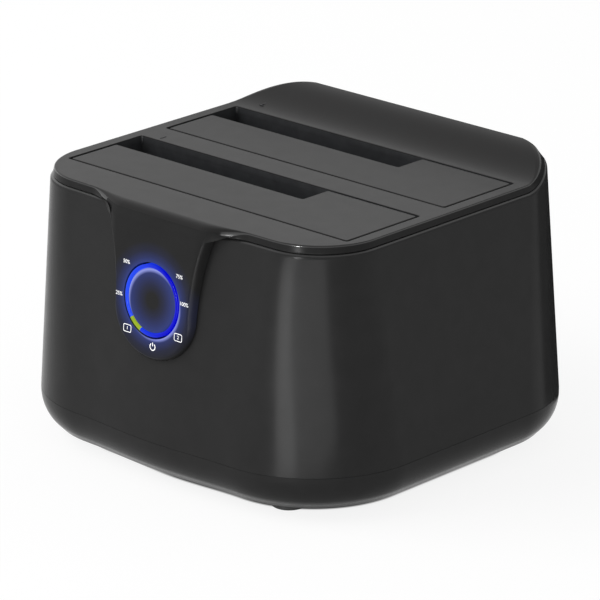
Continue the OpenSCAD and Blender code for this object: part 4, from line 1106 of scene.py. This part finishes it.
class DOCK_OT_ring(bpy.types.Operator):
    """Builds the lit ring and the dished button inside it"""

    bl_idname = "dock.ring"
    bl_label = "Light ring and button"

    RING_STEPS = 144
    CROWN_STEPS = 8
    DISH_STEPS = 12
    EDGE_STEPS = 6

    def execute(self, context):
        self.ring()
        self.button(context.scene.dock_sizes.button_dish)
        return {"FINISHED"}

    def ring(self):
        """Light guide with a round front; the second lamp lights a short part of it."""
        inner = RING_R - RING_W
        middle = (RING_R + inner) / 2
        front = RING_CROWN - RING_PROUD
        profile = [(inner, RING_LEN), (inner, front)]
        for a in spread(0, math.pi, self.CROWN_STEPS)[1:-1]:
            profile.append((middle - RING_W / 2 * math.cos(a), front - RING_CROWN * math.sin(a)))
        profile += [(RING_R, front), (RING_R, RING_LEN), (inner, RING_LEN)]
        bm = bmesh.new()
        lathe(bm, profile, self.RING_STEPS, FACE, lambda turned: int(GREEN_FROM < turned < GREEN_TO))
        ring = new_object("ring", bm, ["lit_acrylic_blue", "lit_acrylic_green"])
        dress(ring, "casing", ["light_ring"], sharp=60)

    def button(self, dish):
        """Cap with a shallow dish, a rounded edge, a skirt and a stem."""
        flat = BUTTON_R - 2 * BUTTON_EDGE
        centre = BUTTON_R - BUTTON_EDGE
        profile = [(flat * t, dish * (1 - t ** 2)) for t in spread(0, 1, self.DISH_STEPS)]
        for a in spread(0, math.pi / 2, self.EDGE_STEPS)[1:]:
            profile.append((centre + BUTTON_EDGE * math.sin(a), BUTTON_EDGE * (1 - math.cos(a))))
        profile += [(BUTTON_R, SKIRT_LEN), (BUTTON_R - SKIRT_T, SKIRT_LEN), (BUTTON_R - SKIRT_T, CAP_T)]
        profile += [(STEM_R, CAP_T), (STEM_R, STEM_LEN), (0, STEM_LEN)]
        bm = bmesh.new()
        lathe(bm, profile, TURN_STEPS, FACE)
        # The button takes the darker copy of the ABS, with its painted shade and the ring's painted glow
        button = new_object("button", bm, ["polished_black_abs_lit"])
        dress(button, "clone_button", ["clone_button"], sharp=40)


class DOCK_OT_marks(bpy.types.Operator):
    """Prints the plain figures and signs round the ring, and raises the bay figures on the cover"""

    bl_idname = "dock.marks"
    bl_label = "Marks"

    # Text or place of each mark, in millimetres to the right of the ring's middle and up from it
    FIGURES = (("25%", -12.3, -0.7), ("50%", -10.0, 8.6), ("75%", 9.9, 8.9), ("100%", 12.1, 1.8))
    DRIVES = (("1", -8.6, -9.6), ("2", 10.5, -7.7))
    POWER = (1.2, -12.5)
    POWER_R = 0.95 * MM
    POWER_LINE = 0.28 * MM
    POWER_TURN = (math.radians(125), math.radians(415))
    POWER_STEPS = 32
    STROKE = (0.2, 1.25)
    DRIVE_HALF = (1.4 * MM, 1 * MM)
    DRIVE_R = 0.4 * MM
    DRIVE_LINE = 0.2 * MM
    DRIVE_FIGURE = 0.9
    INK_T = 0.03 * MM
    SINK = 0.02 * MM
    CAP_SHARE = 0.7
    # Raised figures on the cover: place along X, height, and each one's text, place along Y and slope
    RAISED_X = -46.5 * MM
    RAISED_H = 2.2 * MM
    RAISED = (("1", -6 * MM, 0), ("2", 34.3 * MM, math.atan2(4.3, 25)))

    def execute(self, context):
        sizes = context.scene.dock_sizes
        bm = bmesh.new()
        for text, x, up in self.FIGURES:
            self.letter(bm, text, sizes.mark_height, self.on_face(x, up), self.INK_T)
        for text, x, up in self.DRIVES:
            place = self.on_face(x, up)
            self.letter(bm, text, sizes.mark_height * self.DRIVE_FIGURE, place, self.INK_T)
            self.drive_sign(bm, place)
        self.power_sign(bm, self.on_face(*self.POWER), self.POWER_R)
        marks = new_object("ring_marks", bm, ["white_screen_ink"])
        dress(marks, "casing")
        bm = bmesh.new()
        for text, y, slope in self.RAISED:
            spot = Matrix.Translation((self.RAISED_X, y, ledge_height(y) - self.SINK))
            self.letter(bm, text, self.RAISED_H, spot @ Matrix.Rotation(slope, 4, "X"), sizes.emboss)
        raised = new_object("bay_figures", bm, ["plain_black_abs"])
        dress(raised, "casing")
        return {"FINISHED"}

    def on_face(self, x, up):
        """Place on the tongue's face, in millimetres from the ring's middle, with Z outward."""
        spot = Matrix.Translation((x * MM, -self.SINK, up * MM))
        return FACE @ spot @ Matrix.Rotation(math.pi / 2, 4, "X")

    def letter(self, bm, text, height, place, thickness):
        """Adds a figure as a thin closed mesh, centred on its place and facing along that place's Z."""
        curve = bpy.data.curves.new("figure", "FONT")
        curve.body = text
        curve.size = height / self.CAP_SHARE
        curve.align_x = "CENTER"
        curve.align_y = "CENTER"
        curve.extrude = thickness / 2
        holder = bpy.data.objects.new("figure", curve)
        bpy.context.scene.collection.objects.link(holder)
        solid = bpy.data.meshes.new_from_object(holder.evaluated_get(bpy.context.evaluated_depsgraph_get()))
        solid.transform(place)
        bm.from_mesh(solid)
        bpy.data.objects.remove(holder)
        bpy.data.curves.remove(curve)
        bpy.data.meshes.remove(solid)

    def band(self, bm, place, points, width, closed):
        """Flat printed line of a width along points on a place."""
        count = len(points)
        sides = []
        for i, p in enumerate(points):
            before = points[i - 1] if closed or i > 0 else p
            after = points[(i + 1) % count] if closed or i < count - 1 else p
            along = (after - before).normalized()
            across = Vector((-along.y, along.x)) * width / 2
            sides.append([bm.verts.new(place @ (p + turn * across).to_3d()) for turn in (1, -1)])
        for i in range(count if closed else count - 1):
            a, b = sides[i], sides[(i + 1) % count]
            bm.faces.new((a[0], b[0], b[1], a[1]))

    def drive_sign(self, bm, place):
        """Outline of a drive."""
        half_w, half_h = self.DRIVE_HALF
        shape = rounded(rectangle(-half_w, -half_h, half_w, half_h), self.DRIVE_R)
        self.band(bm, place, shape, self.DRIVE_LINE, True)

    def power_sign(self, bm, place, radius):
        """Open circle with an upright stroke."""
        turns = spread(*self.POWER_TURN, self.POWER_STEPS)
        circle = [Vector((radius * math.cos(a), radius * math.sin(a))) for a in turns]
        self.band(bm, place, circle, self.POWER_LINE, False)
        stroke = [Vector((0, radius * share)) for share in self.STROKE]
        self.band(bm, place, stroke, self.POWER_LINE, False)


class DOCK_OT_springs(bpy.types.Operator):
    """Winds the door springs and turns the rubber feet"""

    bl_idname = "dock.springs"
    bl_label = "Springs and feet"

    COIL_STEPS = 20
    WIRE_SIDES = 8
    NEAR_PARALLEL = 0.1
    FIXED_LEG = 6 * MM
    DOOR_LEG = 8 * MM
    PAD_STEPS = 40
    PAD_EDGE_STEPS = 5
    # Dish under a foot: shares of its radius, and heights
    PAD_DISH = ((0.3, 0.25 * MM), (0.6, 0.2 * MM), (0.72, 0))

    def execute(self, context):
        wire = context.scene.dock_sizes.spring_wire
        for end, front in BAYS.items():
            self.spring(end, front - AXIS_BACK, wire)
        self.feet()
        return {"FINISHED"}

    def spring(self, end, y, wire):
        """Wound spring round a hinge pin, with one leg on the casing and one under the door."""
        name = "hinge_spring_" + end
        low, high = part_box(name)
        radius = SPRING_R - wire / 2
        steps = SPRING_TURNS * self.COIL_STEPS
        left, right = low.x + wire / 2, high.x - wire / 2
        path = [Vector((left, y - self.FIXED_LEG, AXIS_Z + radius))]
        for k, x in enumerate(spread(left, right, steps)):
            a = math.pi / 2 - math.tau * k / self.COIL_STEPS
            path.append(Vector((x, y + radius * math.cos(a), AXIS_Z + radius * math.sin(a))))
        path.append(Vector((right, y + self.DOOR_LEG, AXIS_Z + radius)))
        bm = bmesh.new()
        self.tube(bm, path, wire / 2)
        spring = new_object("spring_" + end, bm, ["zinc_plated_steel"])
        spring.data.shade_smooth()
        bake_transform(spring)
        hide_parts(name)

    def tube(self, bm, path, radius):
        """Round wire along a path."""
        rings = []
        for i, p in enumerate(path):
            along = (path[min(i + 1, len(path) - 1)] - path[max(i - 1, 0)]).normalized()
            across = along.cross(Vector((1, 0, 0)))
            if across.length < self.NEAR_PARALLEL:
                across = along.cross(Vector((0, 0, 1)))
            across.normalize()
            other = along.cross(across)
            turns = spread(0, math.tau, self.WIRE_SIDES)[:-1]
            rings.append([p + radius * (across * math.cos(a) + other * math.sin(a)) for a in turns])
        add_closed(bm, rings)

    def feet(self):
        """Pads with a rounded lower edge and a shallow dish under them."""
        low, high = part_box("feet")
        profile = [(FOOT_PAD_R * share, z) for share, z in self.PAD_DISH]
        for a in spread(0, math.pi / 2, self.PAD_EDGE_STEPS):
            radius = FOOT_PAD_R - FOOT_PAD_EDGE + FOOT_PAD_EDGE * math.sin(a)
            profile.append((radius, FOOT_PAD_EDGE * (1 - math.cos(a))))
        profile.append((FOOT_PAD_R, high.z))
        bm = bmesh.new()
        for x in (low.x + FOOT_PAD_R, high.x - FOOT_PAD_R):
            for y in (low.y + FOOT_PAD_R, high.y - FOOT_PAD_R):
                add_closed(bm, [at_height(circle_points(x, y, r, self.PAD_STEPS), z) for r, z in profile])
        feet = new_object("rubber_feet", bm, ["moulded_rubber"])
        dress(feet, "casing", ["feet"])


class DOCK_OT_nodes(bpy.types.Operator):
    """Finishes the ports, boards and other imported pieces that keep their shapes"""

    bl_idname = "dock.nodes"
    bl_label = "Ports and inner pieces"

    # Finish, rounding of the edges in millimetres, and the nodes that have them
    KEPT = (
        ("plain_black_abs", 0.25, ("bay_guide_front", "bay_guide_rear")),
        ("plain_black_abs", 0.3, ("power_rocker",)),
        ("green_solder_mask", None, ("main_board", "light_board")),
        ("black_nylon", 0.1, ("tact_switch", "tact_plunger")),
        ("black_nylon", 0.15, ("drive_socket_front", "drive_socket_rear")),
        ("black_nylon", 0.2, ("power_inlet",)),
        ("black_nylon", 0.25, ("switch_housing",)),
        ("blue_nylon", 0.12, ("data_socket_insert",)),
        ("cream_nylon", 0.15, ("cable_plug_light", "cable_plug_main")),
        ("gold_flash", None, ("drive_contacts_front", "drive_contacts_rear", "power_inlet_pin")),
        ("moulded_epoxy", None, ("bridge_chip",)),
        ("sleeved_aluminium", None, ("board_capacitors",)),
        ("pressed_ferrite", 0.15, ("board_inductors",)),
        ("nickel_plate", None, ("crystal",)),
        ("nickel_plate", 0.12, ("data_socket_shell",)),
        ("clear_resin", 0.08, ("light_leds",)),
        ("extruded_pvc_ribbon", None, ("ribbon_cable",)),
        ("zinc_plated_steel", 0.1, ("hinge_pin_front", "hinge_pin_rear", "case_screws", "board_screws")),
        ("zinc_plated_steel", 0.08, ("light_board_screws",)),
    )

    def execute(self, context):
        for finish, edge, names in self.KEPT:
            for name in names:
                self.coat(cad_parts[name], finish, edge)
        return {"FINISHED"}

    def coat(self, node, finish, edge):
        """Gives a node its finish, and rounds its edges where it has a rounding."""
        if not node.material_slots:
            node.data.materials.append(None)
        for place in node.material_slots:
            place.material = finish_of(finish)
        if edge:
            soften(node, edge)


class DOCK_OT_stage(bpy.types.Operator):
    """Sets the floor, the soft lights, the white surroundings and the camera"""

    bl_idname = "dock.stage"
    bl_label = "Stage"

    SENSOR_MM = 36
    CLIP_END = 20
    UPRIGHT = (0, 0, 1)
    LEANING = (-0.394, -0.03, 0.919)
    # Lamps, in metres and watts: the way each shines, the way its height runs, and the rays that miss it
    LAMPS = {
        # Wide softbox at the upper left of the front, which lights without a mirror image of its own
        "key_softbox": dict(
            place=(-0.75, -0.85, 1.0), out=(0.6, 0.68, -0.78), along=UPRIGHT, width=1.2, height=1.2,
            power=11.5, hidden=("glossy",)),
        # Upright strip before the front, whose mirror image runs along the rounded edges
        "front_strip": dict(
            place=(0.12, -0.95, 0.28), out=(-0.12, 0.95, -0.2), along=UPRIGHT, width=0.06, height=0.6,
            power=9, hidden=("diffuse",)),
        # Two leaning cards close to the front corner, which show in it as a bright and a dim band
        "corner_card": dict(
            place=(0.0484, -0.0988, 0.0325), out=(-0.035, 0.999, 0), along=LEANING, width=0.017,
            height=0.072, power=0.031, hidden=("diffuse", "camera")),
        "corner_card_dim": dict(
            place=(0.082, -0.0945, 0.0325), out=(-0.6, 0.8, 0), along=LEANING, width=0.055,
            height=0.072, power=0.045, hidden=("diffuse", "camera")),
    }
    # Black card behind the dock: its outline in X and Z, and its place along Y
    FLAG = (-160 * MM, 0, 75 * MM, 90 * MM)
    FLAG_Y = 70 * MM
    # Table: half its width, its glow and shade to the camera, and the soft edge of the glow round the dock,
    # inside which the table is left dark as a painted contact shadow
    TABLE_HALF = 2
    TABLE_GLOW = 0.87
    TABLE_SHADE = 0.2
    CORE_MORE = 5 * MM
    GLOW_FROM = 10.7 * MM
    GLOW_TO = 9.5 * MM
    # Surroundings: strength as a light and as seen, and the share left at the ceiling
    LIGHT_LEVEL = 0.58
    SEEN_LEVEL = 1.0
    CEILING = {"From Min": 0.5, "From Max": 0.9, "To Min": 1.0, "To Max": 0.6}

    def execute(self, context):
        self.camera(context)
        self.floor(context)
        self.world(context)
        for name, settings in self.LAMPS.items():
            self.lamp(name, **settings)
        self.flag()
        context.scene.view_settings.view_transform = "Standard"
        return {"FINISHED"}

    def camera(self, context):
        view = context.scene.dock_view
        az, el = view.azimuth, view.elevation
        back = Vector((math.sin(az) * math.cos(el), -math.cos(az) * math.cos(el), math.sin(el)))
        level = Vector((math.cos(az), math.sin(az), 0))
        rise = back.cross(level)
        right = level * math.cos(view.roll) + rise * math.sin(view.roll)
        up = rise * math.cos(view.roll) - level * math.sin(view.roll)
        place = Matrix((right, up, back)).transposed().to_4x4()
        place.translation = Vector(view.aim) + back * view.distance
        lens = bpy.data.cameras.new("product_camera")
        lens.sensor_width = self.SENSOR_MM
        lens.lens = view.lens
        lens.clip_end = self.CLIP_END
        seen = bpy.data.objects.new("product_camera", lens)
        seen.matrix_world = place
        context.scene.collection.objects.link(seen)
        context.scene.camera = seen

    def background_rays(self, tree):
        """1 for the rays that show the surroundings: from the camera, mirrored or through glass."""
        path = add(tree, "LightPath")
        seen = path.outputs["Is Camera Ray"]
        for other in ("Is Glossy Ray", "Is Transmission Ray"):
            seen = add(
                tree, "Math", {"operation": "MAXIMUM"},
                {0: seen, 1: path.outputs[other]})
        return seen

    def floor(self, context):
        """White table that glows to the camera and in mirror images; under the dock's edge the glow is cut,
        which paints a dark contact shadow close to the dock.
        """
        half = self.TABLE_HALF
        bm = bmesh.new()
        bm.faces.new([bm.verts.new(p) for p in at_height(rectangle(-half, -half, half, half), 0)])
        made, tree, place = new_tree("painted_table")
        seen = self.background_rays(tree)
        white = tint_of("floor_white")
        tints = add(
            tree, "ValToRGB", None, {"Fac": seen},
            ((0.0, white), (1.0, scaled(white, self.TABLE_SHADE))))
        turn = FOOT_R + self.CORE_MORE
        core = Vector((FOOT_W / 2 - turn, FOOT_D / 2 - turn, 0))
        side = add(tree, "VectorMath", {"operation": "ABSOLUTE"}, {0: place})
        past = add(
            tree, "VectorMath", {"operation": "SUBTRACT", 1: core}, {0: side})
        out = add(
            tree, "VectorMath", {"operation": "MAXIMUM", 1: (0, 0, 0)}, {0: past})
        far = add(tree, "VectorMath", {"operation": "LENGTH"}, {0: out})
        across = add(tree, "SeparateXYZ", None, {"Vector": side})
        swell = add(
            tree, "MapRange",
            {"interpolation_type": "SMOOTHSTEP", "From Max": core.x, "To Min": BOW, "To Max": 0.0},
            {"Value": across.outputs["X"]})
        rest = add(
            tree, "Math", {"operation": "SUBTRACT"},
            {0: far.outputs["Value"], 1: swell})
        # No glow under the dock's edge: this paints the contact shadow, whose edge follows the front's bow
        lift = add(
            tree, "MapRange",
            {"From Min": turn - self.GLOW_FROM, "From Max": turn - self.GLOW_TO, "To Max": self.TABLE_GLOW},
            {"Value": rest})
        shine = add(
            tree, "Math", {"operation": "MULTIPLY"}, {0: lift, 1: seen})
        surface = add(
            tree, "BsdfPrincipled",
            {"Roughness": 0.9, "Specular IOR Level": 0.0, "Emission Color": (1, 1, 1, 1)},
            {"Base Color": tints, "Emission Strength": shine})
        add(tree, "OutputMaterial", None, {"Surface": surface})
        table = new_object("floor", bm)
        table.data.materials.append(made)

    def world(self, context):
        """White walls all round, under a ceiling that is less bright."""
        sky = bpy.data.worlds.new("white_surroundings")
        context.scene.world = sky
        sky.use_nodes = True
        tree = sky.node_tree
        tree.nodes.clear()
        level = add(
            tree, "MapRange", {"To Min": self.LIGHT_LEVEL, "To Max": self.SEEN_LEVEL},
            {"Value": self.background_rays(tree)})
        way = add(tree, "TexCoord")
        up = add(tree, "SeparateXYZ", None, {"Vector": way.outputs["Generated"]})
        ceiling = add(tree, "MapRange", self.CEILING, {"Value": up.outputs["Z"]})
        strength = add(
            tree, "Math", {"operation": "MULTIPLY"},
            {0: level, 1: ceiling})
        white = add(
            tree, "Background", {"Color": (1, 1, 1, 1)}, {"Strength": strength})
        add(tree, "OutputWorld", None, {"Surface": white})

    def flag(self):
        """Black card behind the dock that only mirror images show; it keeps the far corner dark."""
        bm = bmesh.new()
        bm.faces.new([bm.verts.new(p) for p in at_depth(rectangle(*self.FLAG), self.FLAG_Y)])
        card = new_object("black_flag", bm, ["plain_black_abs"])
        for ray in ("camera", "diffuse", "transmission", "shadow"):
            setattr(card, "visible_" + ray, False)

    def lamp(self, name, place, out, along, width, height, power, hidden):
        """Area lamp that shines along one direction, with its height along another."""
        light = bpy.data.lights.new(name, "AREA")
        light.shape = "RECTANGLE"
        light.size = width
        light.size_y = height
        light.energy = power
        back = -Vector(out).normalized()
        side = Vector(along).cross(back).normalized()
        turn = Matrix((side, back.cross(side), back)).transposed().to_4x4()
        lamp = bpy.data.objects.new(name, light)
        lamp.matrix_world = Matrix.Translation(place) @ turn
        for ray in hidden:
            setattr(lamp, "visible_" + ray, False)
        bpy.context.scene.collection.objects.link(lamp)


class DOCK_PT_panel(bpy.types.Panel):
    """Lists the steps that build the dock and the values that drive them"""

    bl_idname = "DOCK_PT_panel"
    bl_label = "Docking station"
    bl_space_type = "VIEW_3D"
    bl_region_type = "UI"
    bl_category = "Dock"

    def draw(self, context):
        for step in STEPS:
            self.layout.operator(step.bl_idname)
        for group in (context.scene.dock_sizes, context.scene.dock_finish, context.scene.dock_view):
            box = self.layout.box()
            for key in group.bl_rna.properties.keys():
                if key not in ("rna_type", "name"):
                    box.prop(group, key)


GROUPS = {"dock_sizes": DockSizes, "dock_finish": DockFinish, "dock_view": DockView}
STEPS = (
    DOCK_OT_stage, DOCK_OT_casing, DOCK_OT_cover, DOCK_OT_doors, DOCK_OT_ring, DOCK_OT_marks,
    DOCK_OT_springs, DOCK_OT_nodes)


def register():
    for group in GROUPS.values():
        bpy.utils.register_class(group)
    for key, group in GROUPS.items():
        setattr(bpy.types.Scene, key, PointerProperty(type=group))
    for step in (*STEPS, DOCK_PT_panel):
        bpy.utils.register_class(step)


def unregister():
    for step in (DOCK_PT_panel, *reversed(STEPS)):
        bpy.utils.unregister_class(step)
    for key, group in GROUPS.items():
        delattr(bpy.types.Scene, key)
        bpy.utils.unregister_class(group)


def main():
    register()
    bpy.ops.dock.stage()
    bpy.ops.dock.casing()
    bpy.ops.dock.cover()
    bpy.ops.dock.doors()
    bpy.ops.dock.ring()
    bpy.ops.dock.marks()
    bpy.ops.dock.springs()
    bpy.ops.dock.nodes()


if __name__ == "__main__":
    main()
